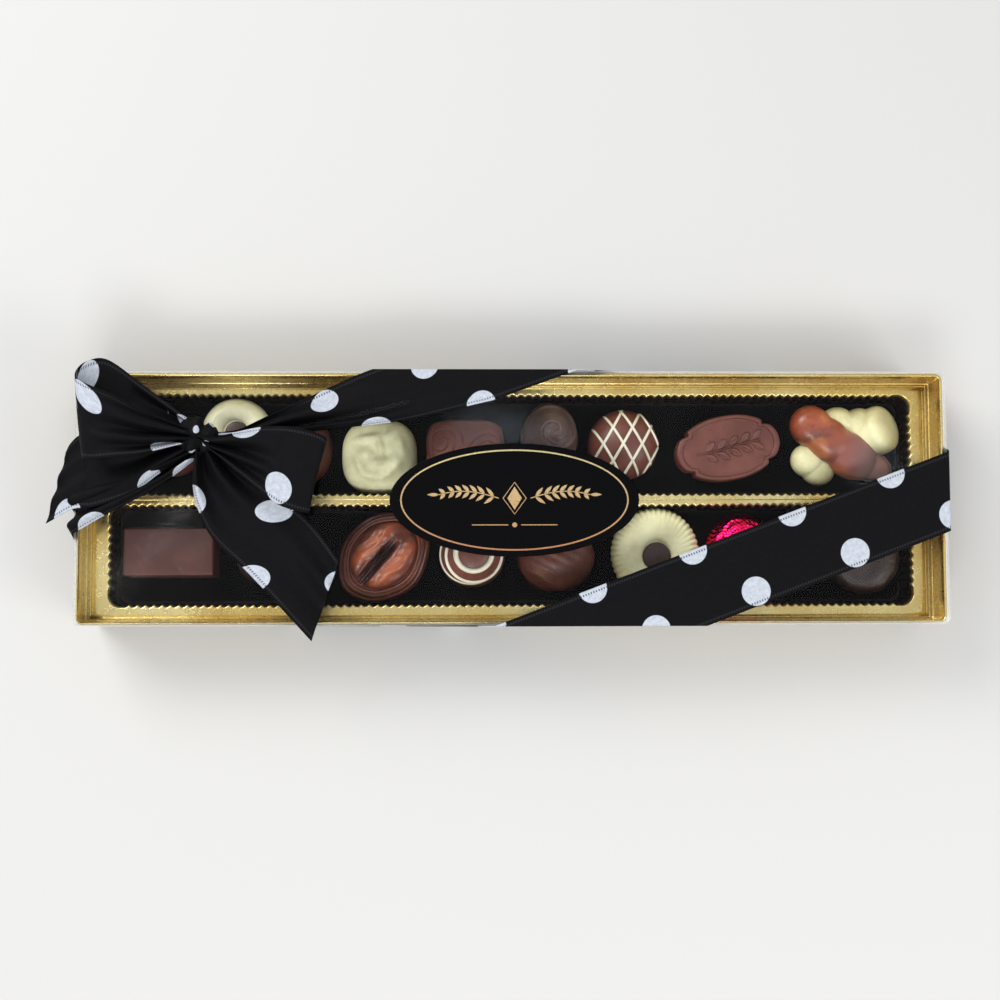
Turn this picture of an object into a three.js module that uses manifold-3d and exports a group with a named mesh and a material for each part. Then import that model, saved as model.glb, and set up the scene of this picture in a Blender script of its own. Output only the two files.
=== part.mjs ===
// A shut gift box of filled chocolates, tied with a dotted ribbon. Millimetres, +Z up, standing on z = 0.
//
// A clear plastic lid covers a card base. Between them stands a gold tray with two long channels whose walls
// are fluted. Each channel is lined with black paper and holds a row of nine chocolates. An oval sticker lies
// on the lid. The ribbon crosses two opposite corners of the box on top and the other two underneath, and is
// tied in a bow over the back left corner.
//
// Lengths run along X, widths along Y with the back at +Y. Each piece is laid out about the box's own middle,
// and the whole is moved at the end so that the origin is the bottom centre of everything, bow included.
import * as THREE from "three";
import { mergeVertices } from "three/addons/utils/BufferGeometryUtils.js";
import Module from "manifold-3d";

const wasm = await Module();
wasm.setup();

// The box
const BOX_LENGTH = 302;
const BOX_WIDTH = 88;
const BOX_HEIGHT = 30;
const LID_WALL = 0.5;
const LID_CORNER = 2.5;
const LID_EDGE = 1.5;
const BASE_THICKNESS = 1;
const GAP = 0.1;

// How finely round corners and edges are faceted, and how far a cut goes past the face that it opens.
const CORNER_SEGMENTS = 3;
const EDGE_SEGMENTS = 2;
const CUT_OVERLAP = 1;

// The tray
const TRAY_GAP = 0.2;
const TRAY_SHEET = 0.9;
const TRAY_CORNER = 3.2;
const TROUGH_WALL = 1;
const LAND_HEIGHT = 15.5;
const LIP_HEIGHT = 28;
const LIP_TOP = 0.5;
const LIP_FOOT = 2.6;
const CHANNEL_LENGTH = 285;
const CHANNEL_WIDTH = 36;
const CHANNEL_CORNER = 4.5;
const CHANNEL_FLOOR = 3;
const CHANNEL_DRAFT = 1.2;
const DIVIDER = 3.2;
const FLUTE_PITCH = 4;
const FLUTE_DEPTH = 0.9;
const LINER_THICKNESS = 0.3;

// The ribbon
const RIBBON_WIDTH = 26;
const RIBBON_THICKNESS = 0.4;
const RIBBON_ANGLE = THREE.MathUtils.degToRad(20.7);
const BAND_STEPS = 12;
const BAND_STRIPS = 4;
const LOOP_STEPS = 18;
const BAND_CLEARANCE = 0.25;

// The sticker
const STICKER = { x: 1.2, y: -1.2, length: 86, width: 40.4, thickness: 0.3 };
const STICKER_SEGMENTS = 20;

const BASE_Z = RIBBON_THICKNESS + GAP;
const LID_TOP = BASE_Z + BOX_HEIGHT;
const TRAY_Z = BASE_Z + BASE_THICKNESS + GAP;
const CHOCOLATE_Z = CHANNEL_FLOOR + GAP + LINER_THICKNESS + GAP;
const CHANNEL_Y = (DIVIDER + CHANNEL_WIDTH) / 2;
const RIBBON_TOP = LID_TOP + GAP;
const HALF_LENGTH = BOX_LENGTH / 2;
const HALF_WIDTH = BOX_WIDTH / 2;
const WELD = 1e-4;
const SMOOTHING = 0.04;

const COLOURS = {
  clear: { color: 0xeaf2f0, roughness: 0.05, metalness: 0 },
  card: { color: 0xe8e4d8, roughness: 0.8, metalness: 0 },
  gold: { color: 0xcfae5c, roughness: 0.3, metalness: 1 },
  liner: { color: 0x111113, roughness: 0.7, metalness: 0 },
  ribbon: { color: 0x0c0c0e, roughness: 0.6, metalness: 0 },
  sticker: { color: 0x0e0e10, roughness: 0.35, metalness: 0 },
  milk: { color: 0x6a3a2a, roughness: 0.4, metalness: 0 },
  dark: { color: 0x33211d, roughness: 0.4, metalness: 0 },
  white: { color: 0xe9e2b4, roughness: 0.4, metalness: 0 },
  walnut: { color: 0x8a4526, roughness: 0.35, metalness: 0 },
  marbled: { color: 0xc4956a, roughness: 0.35, metalness: 0 },
  foil: { color: 0xd0103c, roughness: 0.25, metalness: 1 },
};

// Moves every corner of a geometry by a rule that changes the point it is given.
function shaped(geometry, place) {
  const at = geometry.attributes.position;
  const point = new THREE.Vector3();
  for (let i = 0; i < at.count; i++) {
    place(point.fromBufferAttribute(at, i));
    at.setXYZ(i, point.x, point.y, point.z);
  }
  return geometry;
}

// A closed geometry as a solid that can be joined and cut, its faces pointing out.
function solidOf(geometry) {
  const bare = geometry.index ? geometry.toNonIndexed() : geometry.clone();
  bare.deleteAttribute("normal");
  bare.deleteAttribute("uv");
  const merged = mergeVertices(bare, WELD);
  const corners = merged.index.array;
  const kept = [];
  for (let i = 0; i < corners.length; i += 3) {
    const [a, b, c] = corners.slice(i, i + 3);
    if (a !== b && b !== c && c !== a) kept.push(a, b, c);
  }
  const make = (triVerts) =>
    new wasm.Manifold(
      new wasm.Mesh({ numProp: 3, vertProperties: merged.attributes.position.array, triVerts }),
    );
  const made = make(new Uint32Array(kept));
  return made.volume() < 0 ? make(new Uint32Array(kept.reverse())) : made;
}

// A solid's largest body as a geometry: a cut can leave loose scraps, and points along straight edges.
function geometryOf(solid) {
  const bodies = solid.asOriginal().simplify(SMOOTHING).decompose().sort((a, b) => b.volume() - a.volume());
  const mesh = bodies[0].getMesh();
  const geometry = new THREE.BufferGeometry();
  geometry.setAttribute("position", new THREE.BufferAttribute(new Float32Array(mesh.vertProperties), 3));
  geometry.setIndex(new THREE.BufferAttribute(new Uint32Array(mesh.triVerts), 1));
  return geometry;
}

function joined(...geometries) {
  return geometries.map(solidOf).reduce((whole, next) => whole.add(next));
}

// A rectangle with round corners, centred on the origin.
function roundedRectangle(length, width, radius) {
  const [x, y] = [length / 2 - radius, width / 2 - radius];
  const outline = new THREE.Shape();
  outline.absarc(x, y, radius, 0, Math.PI / 2);
  outline.absarc(-x, y, radius, Math.PI / 2, Math.PI);
  outline.absarc(-x, -y, radius, Math.PI, 1.5 * Math.PI);
  outline.absarc(x, -y, radius, 1.5 * Math.PI, 2 * Math.PI);
  return outline;
}

// A slab from one height to another with a round edge at its top.
function slab(length, width, corner, low, high, edge) {
  const outline = roundedRectangle(length - 2 * edge, width - 2 * edge, corner - edge);
  const block = new THREE.ExtrudeGeometry(outline, {
    depth: high - low,
    curveSegments: CORNER_SEGMENTS,
    bevelEnabled: edge > 0,
    bevelSize: edge,
    bevelThickness: edge,
    bevelSegments: EDGE_SEGMENTS,
  });
  block.translate(0, 0, low - edge);
  return solidOf(block).trimByPlane([0, 0, 1], low);
}

function clearLid() {
  const outside = slab(BOX_LENGTH, BOX_WIDTH, LID_CORNER, BASE_Z, LID_TOP, LID_EDGE);
  const inside = slab(
    BOX_LENGTH - 2 * LID_WALL,
    BOX_WIDTH - 2 * LID_WALL,
    LID_CORNER - LID_WALL,
    BASE_Z - CUT_OVERLAP,
    LID_TOP - LID_WALL,
    LID_EDGE - LID_WALL,
  );
  return geometryOf(outside.subtract(inside));
}

function cardBase() {
  const clearance = 2 * (LID_WALL + GAP);
  const outline = roundedRectangle(BOX_LENGTH - clearance, BOX_WIDTH - clearance, LID_CORNER - LID_WALL);
  const board = new THREE.ExtrudeGeometry(outline, {
    depth: BASE_THICKNESS,
    curveSegments: CORNER_SEGMENTS,
    bevelEnabled: false,
  });
  return board.translate(0, 0, BASE_Z);
}

// The outline of a channel: a rounded rectangle whose straight sides run in and out in triangular flutes.
function channelOutline(length, width, radius, depth) {
  const outline = new THREE.Shape();
  const corners = [
    { x: length / 2 - radius, y: width / 2 - radius, from: 0 },
    { x: -length / 2 + radius, y: width / 2 - radius, from: 1 },
    { x: -length / 2 + radius, y: -width / 2 + radius, from: 2 },
    { x: length / 2 - radius, y: -width / 2 + radius, from: 3 },
  ];
  corners.forEach((corner, i) => {
    const start = (corner.from * Math.PI) / 2;
    outline.absarc(corner.x, corner.y, radius, start, start + Math.PI / 2);
    const next = corners[(i + 1) % corners.length];
    const [run, inward] = [new THREE.Vector2(next.x - corner.x, next.y - corner.y), new THREE.Vector2()];
    inward.set(-run.y, run.x).normalize();
    const edge = new THREE.Vector2(corner.x, corner.y).addScaledVector(inward, -radius);
    const flutes = Math.round(run.length() / FLUTE_PITCH);
    for (let f = 0; f < flutes; f++) {
      const middle = edge.clone().addScaledVector(run, (f + 0.5) / flutes).addScaledVector(inward, depth);
      const end = edge.clone().addScaledVector(run, (f + 1) / flutes);
      outline.lineTo(middle.x, middle.y);
      if (f < flutes - 1) outline.lineTo(end.x, end.y);
    }
  });
  return outline;
}

// The space of one channel: fluted walls that lean in a little towards the floor.
function channelSpace(y) {
  const height = LAND_HEIGHT - CHANNEL_FLOOR;
  const space = new THREE.ExtrudeGeometry(
    channelOutline(CHANNEL_LENGTH, CHANNEL_WIDTH, CHANNEL_CORNER, FLUTE_DEPTH),
    { depth: height, curveSegments: CORNER_SEGMENTS, bevelEnabled: false },
  );
  const [longShrink, wideShrink] = [
    1 - (2 * CHANNEL_DRAFT) / CHANNEL_LENGTH,
    1 - (2 * CHANNEL_DRAFT) / CHANNEL_WIDTH,
  ];
  shaped(space, (p) => {
    if (p.z < height / 2) p.set(p.x * longShrink, p.y * wideShrink, 0);
    else p.z = height;
    p.y += y;
    p.z += p.z > 0 ? CHANNEL_FLOOR + GAP : CHANNEL_FLOOR;
  });
  return solidOf(space);
}

// The hollow above the flat land, inside a lip that leans out towards the lid's wall.
function lipSpace(length, width, corner) {
  const height = LIP_HEIGHT - LAND_HEIGHT;
  const outline = roundedRectangle(length - 2 * LIP_TOP, width - 2 * LIP_TOP, corner);
  const space = new THREE.ExtrudeGeometry(outline, {
    depth: height,
    curveSegments: CORNER_SEGMENTS,
    bevelEnabled: false,
  });
  shaped(space, (p) => {
    if (p.z < height / 2) {
      p.x -= Math.sign(p.x) * (LIP_FOOT - LIP_TOP);
      p.y -= Math.sign(p.y) * (LIP_FOOT - LIP_TOP);
    } else p.z = height + GAP;
    p.z += LAND_HEIGHT;
  });
  return solidOf(space);
}

function goldTray() {
  const [length, width] = [BOX_LENGTH, BOX_WIDTH].map((side) => side - 2 * (LID_WALL + TRAY_GAP));
  const outside = slab(length, width, TRAY_CORNER, TRAY_Z, LIP_HEIGHT, 0);
  const inside = slab(
    length - 2 * TRAY_SHEET,
    width - 2 * TRAY_SHEET,
    TRAY_CORNER - TRAY_SHEET,
    TRAY_Z - CUT_OVERLAP,
    LAND_HEIGHT - TRAY_SHEET,
    0,
  );
  const trough = slab(
    CHANNEL_LENGTH + 2 * TROUGH_WALL,
    2 * (CHANNEL_WIDTH + TROUGH_WALL) + DIVIDER,
    CHANNEL_CORNER,
    TRAY_Z,
    LAND_HEIGHT - TRAY_SHEET / 2,
    0,
  );
  return geometryOf(
    outside
      .subtract(inside)
      .add(trough)
      .subtract(lipSpace(length, width, TRAY_CORNER))
      .subtract(channelSpace(CHANNEL_Y))
      .subtract(channelSpace(-CHANNEL_Y)),
  );
}

function paperLiner(y) {
  const margin = 2 * (CHANNEL_DRAFT + FLUTE_DEPTH);
  const outline = roundedRectangle(CHANNEL_LENGTH - margin, CHANNEL_WIDTH - margin, CHANNEL_CORNER);
  const sheet = new THREE.ExtrudeGeometry(outline, {
    depth: LINER_THICKNESS,
    curveSegments: CORNER_SEGMENTS,
    bevelEnabled: false,
  });
  return sheet.translate(0, y, CHANNEL_FLOOR + GAP);
}

function ovalSticker() {
  const outline = new THREE.Shape();
  outline.absellipse(0, 0, STICKER.length / 2, STICKER.width / 2, 0, 2 * Math.PI);
  const sheet = new THREE.ExtrudeGeometry(outline, {
    depth: STICKER.thickness,
    curveSegments: STICKER_SEGMENTS,
    bevelEnabled: false,
  });
  return sheet.translate(STICKER.x, STICKER.y, LID_TOP + GAP);
}

// Chocolates: each stands on z = 0 about its own middle.

// Shares of a dome's radius and height: its flat foot, its low upright side, and where a relief starts on it
// and is full.
const FOOT_SHARE = 0.92;
const SIDE_SHARE = 0.18;
const RELIEF_START = 0.3;
const RELIEF_FULL = 0.63;

// The half outline of a dome: a flat foot, then a superellipse up to the crown. A larger power is boxier.
function domeOutline(radius, height, power, steps) {
  const points = [new THREE.Vector2(0, 0), new THREE.Vector2(radius * FOOT_SHARE, 0)];
  const shoulder = height * SIDE_SHARE;
  for (let i = 0; i <= steps; i++) {
    const turn = (i / steps) * (Math.PI / 2);
    const across = i === steps ? 0 : Math.cos(turn) ** (2 / power);
    const up = Math.sin(turn) ** (2 / power);
    points.push(new THREE.Vector2(radius * across, shoulder + (height - shoulder) * up));
  }
  return points;
}

function turned(outline, segments) {
  return new THREE.LatheGeometry(outline, segments).rotateX(Math.PI / 2);
}

// A turned dome stretched to a length and a width, then pushed about by a relief of the distance from the
// middle (0 to 1) and the angle, which returns how far the surface rises.
function dome({ length, width, height, power = 2.4, segments = 18, steps = 5, relief = null, bulge = null }) {
  const body = turned(domeOutline(1, height, power, steps), segments);
  return shaped(body, (p) => {
    const reach = Math.hypot(p.x, p.y);
    const angle = Math.atan2(p.y, p.x);
    const rise = p.z / height;
    const share = THREE.MathUtils.clamp((rise - RELIEF_START) / (RELIEF_FULL - RELIEF_START), 0, 1);
    if (relief) p.z += share * relief(reach, angle, p);
    const swell = bulge ? bulge(reach, angle, rise) : 1;
    p.x *= (swell * length) / 2;
    p.y *= (swell * width) / 2;
  });
}

function plainDome(length, width, height, power) {
  return () => dome({ length, width, height, power });
}

const RING_SEGMENTS = 28;
const CENTRE_SEGMENTS = 20;
const CENTRE_CLEARANCE = 0.2;

// A round chocolate whose crown dips into a round well for its dark centre.
function wellDome({ radius, height, wellRadius, wellDepth, flutes = 0, fluteDepth = 0 }) {
  const crown = (radius + wellRadius) / 2;
  const outline = [
    new THREE.Vector2(0, 0),
    new THREE.Vector2(radius * FOOT_SHARE, 0),
    new THREE.Vector2(radius, height * 0.3),
    new THREE.Vector2(radius * 0.9, height * 0.8),
    new THREE.Vector2(crown, height),
    new THREE.Vector2(wellRadius, height - wellDepth * 0.35),
    new THREE.Vector2(wellRadius, height - wellDepth),
    new THREE.Vector2(0, height - wellDepth),
  ];
  const body = turned(outline, flutes ? 2 * flutes : RING_SEGMENTS);
  if (!flutes) return body;
  return shaped(body, (p) => {
    const reach = Math.hypot(p.x, p.y);
    const share = THREE.MathUtils.smoothstep(reach, crown, radius * 0.97);
    const ridge = Math.cos(flutes * Math.atan2(p.y, p.x));
    const scale = 1 + (share * fluteDepth * ridge) / radius;
    p.x *= scale;
    p.y *= scale;
  });
}

function wellCentre({ wellRadius, wellDepth, height }) {
  const radius = wellRadius - CENTRE_CLEARANCE;
  const low = height - wellDepth + GAP;
  const outline = [
    new THREE.Vector2(0, low),
    new THREE.Vector2(radius, low),
    new THREE.Vector2(radius, low + wellDepth * 0.5),
    new THREE.Vector2(radius * 0.7, low + wellDepth * 0.75),
    new THREE.Vector2(0, low + wellDepth * 0.85),
  ];
  return turned(outline, CENTRE_SEGMENTS);
}

const WHITE_RING = { radius: 11.8, height: 13, wellRadius: 4.2, wellDepth: 2.4 };
const FLUTED_DISC = { radius: 15.2, height: 12, wellRadius: 5.2, wellDepth: 2, flutes: 32, fluteDepth: 0.45 };

// Soft lumps pressed into the crown of the cream chocolate.
function creamRelief() {
  const relief = (reach, angle) =>
    0.9 * Math.cos(3 * angle + 5 * reach) * Math.sin(Math.PI * Math.min(reach, 1)) - 0.6 * (1 - reach);
  return dome({ length: 28, width: 25.5, height: 14, power: 3, segments: 22, steps: 7, relief });
}

// A barrel lying down, its crown pressed with two scrolls.
function milkBarrel() {
  const relief = (reach, angle) => 0.35 * Math.cos(2 * angle + 9 * reach);
  return dome({ length: 27.6, width: 21, height: 15, power: 3.4, segments: 22, steps: 6, relief });
}

// A dark horn: a round body that curls over itself, so that ridges run round one side.
function darkHorn() {
  const relief = (reach, angle) => 0.7 * Math.cos(11 * reach - angle) * (0.6 + 0.4 * Math.cos(angle - 0.8));
  return dome({ length: 20.5, width: 24, height: 16.5, power: 2.2, segments: 22, steps: 8, relief });
}

// Piped white lines cross the crown in two directions.
function latticeDome() {
  const lines = { pitch: 0.36, width: 0.07, rise: 0.7, lean: 0.44 };
  const ridge = (value) => {
    const offset = Math.abs(value / lines.pitch - Math.round(value / lines.pitch)) * lines.pitch;
    return offset < lines.width ? lines.rise * (1 - offset / lines.width) : 0;
  };
  const relief = (reach, angle, p) => {
    const [along, across] = [p.x * Math.cos(lines.lean), p.y * Math.sin(lines.lean)];
    return Math.max(ridge(along + across), ridge(along - across));
  };
  return dome({ length: 25.4, width: 25.4, height: 16, power: 2.2, segments: 26, steps: 8, relief });
}

// Rings of piped white lines round the crown.
function ringedDome() {
  const rings = [0.42, 0.8];
  const relief = (reach) => Math.max(...rings.map((ring) => 0.7 * Math.exp(-(((reach - ring) / 0.07) ** 2))));
  return dome({ length: 24, width: 24, height: 15.5, power: 2.2, segments: 20, steps: 10, relief });
}

// A walnut half on an oval foot: two lobes either side of a deep cleft with a thin ridge in it.
function walnutPraline() {
  const relief = (reach, angle, p) => {
    const cleft = -3.2 * Math.exp(-((p.y / 0.2) ** 2)) * (1 - 0.55 * p.x * p.x);
    const middle = 1.6 * Math.exp(-((p.y / 0.06) ** 2));
    const rim = -1.6 * Math.exp(-(((reach - 0.84) / 0.07) ** 2));
    return (reach < 0.8 ? cleft + middle : 0) + rim;
  };
  return dome({ length: 35, width: 28, height: 16.5, power: 2.5, segments: 26, steps: 9, relief });
}

// A heart: two round shoulders at the back and a blunt point at the front.
function milkHeart() {
  const bulge = (reach, angle) => 1 + 0.09 * Math.sin(-angle) ** 3 - 0.1 * Math.max(0, Math.sin(angle)) ** 8;
  return dome({ length: 29.5, width: 27, height: 13.5, power: 2.3, segments: 26, steps: 7, bulge });
}

// Twisted foil round a ball, with shallow pleats that run down its side.
function foilBall() {
  const bulge = (reach, angle, rise) => 1 + 0.02 * Math.cos(14 * angle + 3 * rise);
  return dome({ length: 24.8, width: 24.8, height: 16, power: 2.2, segments: 28, steps: 7, bulge });
}

// An oval plaque with a shoulder cut in at each end, a raised border and a low picture field.
function ovalPlaque() {
  const [length, width, height, border] = [38, 23, 10, 0.8];
  const outline = (angle) => {
    const shoulder = 0.06 * Math.exp(-(((Math.abs(Math.cos(angle)) - 0.86) / 0.05) ** 2));
    return 1 - shoulder;
  };
  const rings = [
    new THREE.Vector2(0, 0),
    new THREE.Vector2(0.96, 0),
    new THREE.Vector2(1, height * 0.5),
    new THREE.Vector2(0.97, height - border * 0.4),
    new THREE.Vector2(0.93, height),
    new THREE.Vector2(0.87, height),
    new THREE.Vector2(0.83, height - border),
    new THREE.Vector2(0.45, height - border),
    new THREE.Vector2(0.25, height - border * 0.4),
    new THREE.Vector2(0, height - border * 0.5),
  ];
  return shaped(turned(rings, 28), (p) => {
    const swell = outline(Math.atan2(p.y, p.x));
    p.x *= (swell * length) / 2;
    p.y *= (swell * width) / 2;
  });
}

// A moulded bar with round edges and sides that lean in, by a share of its size over its height.
const BAR_LEAN = 0.05;
const BAR_CORNER = 0.6;

function milkBar(length, width, height, edge) {
  const body = slab(length, width, edge + BAR_CORNER, 0, height, edge);
  return shaped(geometryOf(body), (p) => {
    const share = 1 - (BAR_LEAN * p.z) / height;
    p.x *= share;
    p.y *= share;
  });
}

// A ball of diameter 1 with its poles up and down.
function ballOf(segments, rings) {
  return new THREE.SphereGeometry(0.5, segments, rings).rotateX(Math.PI / 2);
}

// A soft lump: a ball stretched to three sizes, turned in plan and set at a place.
function lump({ x, y, z, length, width, height, turn = 0 }) {
  const ball = ballOf(13, 8);
  ball.scale(length, width, height).rotateZ(turn).translate(x, y, z);
  return ball;
}

// A knot of white lobes with a brown bean laid across them.
function marbledKnot() {
  const lobes = [
    lump({ x: 11.5, y: 4.6, z: 5.5, length: 20, width: 20, height: 14 }),
    lump({ x: 0.5, y: 7, z: 5.5, length: 16, width: 15, height: 14 }),
    lump({ x: -12, y: -7, z: 4.5, length: 16, width: 15, height: 12 }),
    lump({ x: -8, y: 4.6, z: 8, length: 24, width: 16, height: 15, turn: -0.75 }),
    lump({ x: 6.5, y: -5, z: 7.5, length: 26, width: 16, height: 14, turn: -0.5 }),
  ];
  return geometryOf(joined(...lobes).trimByPlane([0, 0, 1], 0));
}

// Where each chocolate lies, in the box's own middle frame.
const CHOCOLATES = [
  { name: "milk_round", x: -122.2, y: 20.4, colour: "milk", make: plainDome(22.4, 22.4, 14.5, 2.3) },
  { name: "white_ring", x: -98, y: 24, colour: "white", make: () => wellDome(WHITE_RING) },
  { name: "white_ring_centre", x: -98, y: 24, colour: "dark", make: () => wellCentre(WHITE_RING) },
  { name: "milk_oval", x: -75.2, y: 19, colour: "milk", make: plainDome(20.5, 26, 13.5, 2.5) },
  { name: "cream_relief", x: -46.6, y: 17, colour: "white", make: creamRelief },
  { name: "milk_barrel", x: -16.3, y: 18.7, colour: "milk", make: milkBarrel },
  { name: "dark_horn", x: 13.3, y: 21.5, colour: "dark", make: darkHorn },
  { name: "lattice_dome", x: 40, y: 20.4, colour: "milk", make: latticeDome },
  { name: "oval_plaque", x: 77.5, y: 19, turn: 10, colour: "milk", make: ovalPlaque },
  { name: "marbled_knot", x: 118.2, y: 20, colour: "marbled", make: marbledKnot },
  { name: "milk_bar", x: -121, y: -18.6, colour: "milk", make: () => milkBar(33.2, 18.2, 11, 0.8) },
  { name: "dark_dome", x: -88.3, y: -19.5, colour: "dark", make: plainDome(24, 24, 14.5, 2.2) },
  { name: "walnut_praline", x: -45.9, y: -19.4, turn: 46, colour: "walnut", make: walnutPraline },
  { name: "ringed_dome", x: -14.5, y: -19.1, colour: "milk", make: ringedDome },
  { name: "milk_heart", x: 15.6, y: -18.6, colour: "milk", make: milkHeart },
  { name: "fluted_disc", x: 51.1, y: -18.8, colour: "white", make: () => wellDome(FLUTED_DISC) },
  { name: "fluted_disc_centre", x: 51.1, y: -18.8, colour: "dark", make: () => wellCentre(FLUTED_DISC) },
  { name: "foil_ball", x: 81.4, y: -17.6, colour: "foil", make: foilBall },
  { name: "milk_square", x: 103.6, y: -19.2, colour: "milk", make: () => milkBar(17, 17, 12, 1) },
  { name: "dark_button", x: 126.4, y: -20.4, colour: "dark", make: plainDome(24, 24, 11, 3.4) },
];

// The ribbon. A crossing is where it folds over an edge of the box, from one end to the other along that edge.
const ALONG_SIDE = RIBBON_WIDTH / Math.sin(RIBBON_ANGLE) / 2;
const ALONG_END = RIBBON_WIDTH / Math.cos(RIBBON_ANGLE) / 2;
const around = (middle, half) => [middle - half, middle + half];
const CROSSINGS = {
  rightTop: around(2, ALONG_END),
  rightBottom: around(13.4, ALONG_END),
  backBottom: around(70, ALONG_SIDE),
  backTop: [-49.2, 22.4],
  frontTop: around(29.7, ALONG_SIDE),
  frontBottom: around(-50, ALONG_SIDE),
  leftBottom: around(-14, ALONG_END),
  leftTop: [-12.6, 8],
};

// A flat strip of ribbon between two of its edges on one face of the box. Each corner is a point on the face's
// inner side, and out is the way the thickness goes.
function strip([a, b, c, d], out) {
  const rise = new THREE.Vector3(...out).multiplyScalar(RIBBON_THICKNESS);
  return shaped(new THREE.BoxGeometry(1, 1, 1), (p) => {
    const [near, far] = p.x < 0 ? [a, b] : [d, c];
    const base = new THREE.Vector3(...(p.y < 0 ? near : far));
    p.copy(p.z < 0 ? base : base.add(rise));
  });
}

const SIDE_X = HALF_LENGTH + GAP;
const SIDE_Y = HALF_WIDTH + GAP;
const OUT_X = SIDE_X + RIBBON_THICKNESS;
const OUT_Y = SIDE_Y + RIBBON_THICKNESS;
const OUT_Z = RIBBON_TOP + RIBBON_THICKNESS;

function rightBand() {
  const [[y1, y2], [y3, y4]] = [CROSSINGS.rightTop, CROSSINGS.rightBottom];
  const [[x1, x2], [x3, x4]] = [CROSSINGS.frontTop, CROSSINGS.frontBottom];
  const z = RIBBON_TOP;
  const top = strip([[OUT_X, y1, z], [OUT_X, y2, z], [x1, -OUT_Y, z], [x2, -OUT_Y, z]], [0, 0, 1]);
  const right = strip(
    [[SIDE_X, y3, BASE_Z], [SIDE_X, y4, BASE_Z], [SIDE_X, y2, OUT_Z], [SIDE_X, y1, OUT_Z]],
    [1, 0, 0],
  );
  const front = strip(
    [[x3, -SIDE_Y, BASE_Z], [x4, -SIDE_Y, BASE_Z], [x2, -SIDE_Y, OUT_Z], [x1, -SIDE_Y, OUT_Z]],
    [0, -1, 0],
  );
  return joined(top, right, front);
}

function underRight() {
  const [[y1, y2], [x1, x2]] = [CROSSINGS.rightBottom, CROSSINGS.backBottom];
  return solidOf(strip([[OUT_X, y1, 0], [OUT_X, y2, 0], [x2, OUT_Y, 0], [x1, OUT_Y, 0]], [0, 0, 1]));
}

function underLeft() {
  const [[y1, y2], [x1, x2]] = [CROSSINGS.leftBottom, CROSSINGS.frontBottom];
  return solidOf(strip([[-OUT_X, y1, 0], [-OUT_X, y2, 0], [x2, -OUT_Y, 0], [x1, -OUT_Y, 0]], [0, 0, 1]));
}

// A band of ribbon between two edge curves, gathered into folds where it nears the knot. gather(u) is how deep
// the folds are, u running from 0 to 1 along the band.
function band({ near, far, folds = 2, gather = () => 0, thickness = RIBBON_THICKNESS, steps = BAND_STEPS }) {
  const [nearEdge, farEdge] = [near, far].map(
    (points) => new THREE.CatmullRomCurve3(points.map((p) => new THREE.Vector3(...p)), false, "catmullrom"),
  );
  const flat = (u, v) => nearEdge.getPoint(u).lerp(farEdge.getPoint(u), v);
  const facing = (u, v) => {
    const step = 0.01;
    const [u0, u1] = [Math.max(0, u - step), Math.min(1, u + step)];
    const along = flat(u1, v).sub(flat(u0, v));
    return along.cross(flat(u, 1).sub(flat(u, 0))).normalize();
  };
  const sheet = new THREE.BoxGeometry(1, 1, 1, steps, BAND_STRIPS, 1);
  return shaped(sheet, (p) => {
    const [u, v] = [p.x + 0.5, p.y + 0.5];
    const rise = p.z * thickness + gather(u) * Math.sin(2 * Math.PI * folds * v);
    p.copy(flat(u, v)).addScaledVector(facing(u, v), rise);
  });
}

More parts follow.
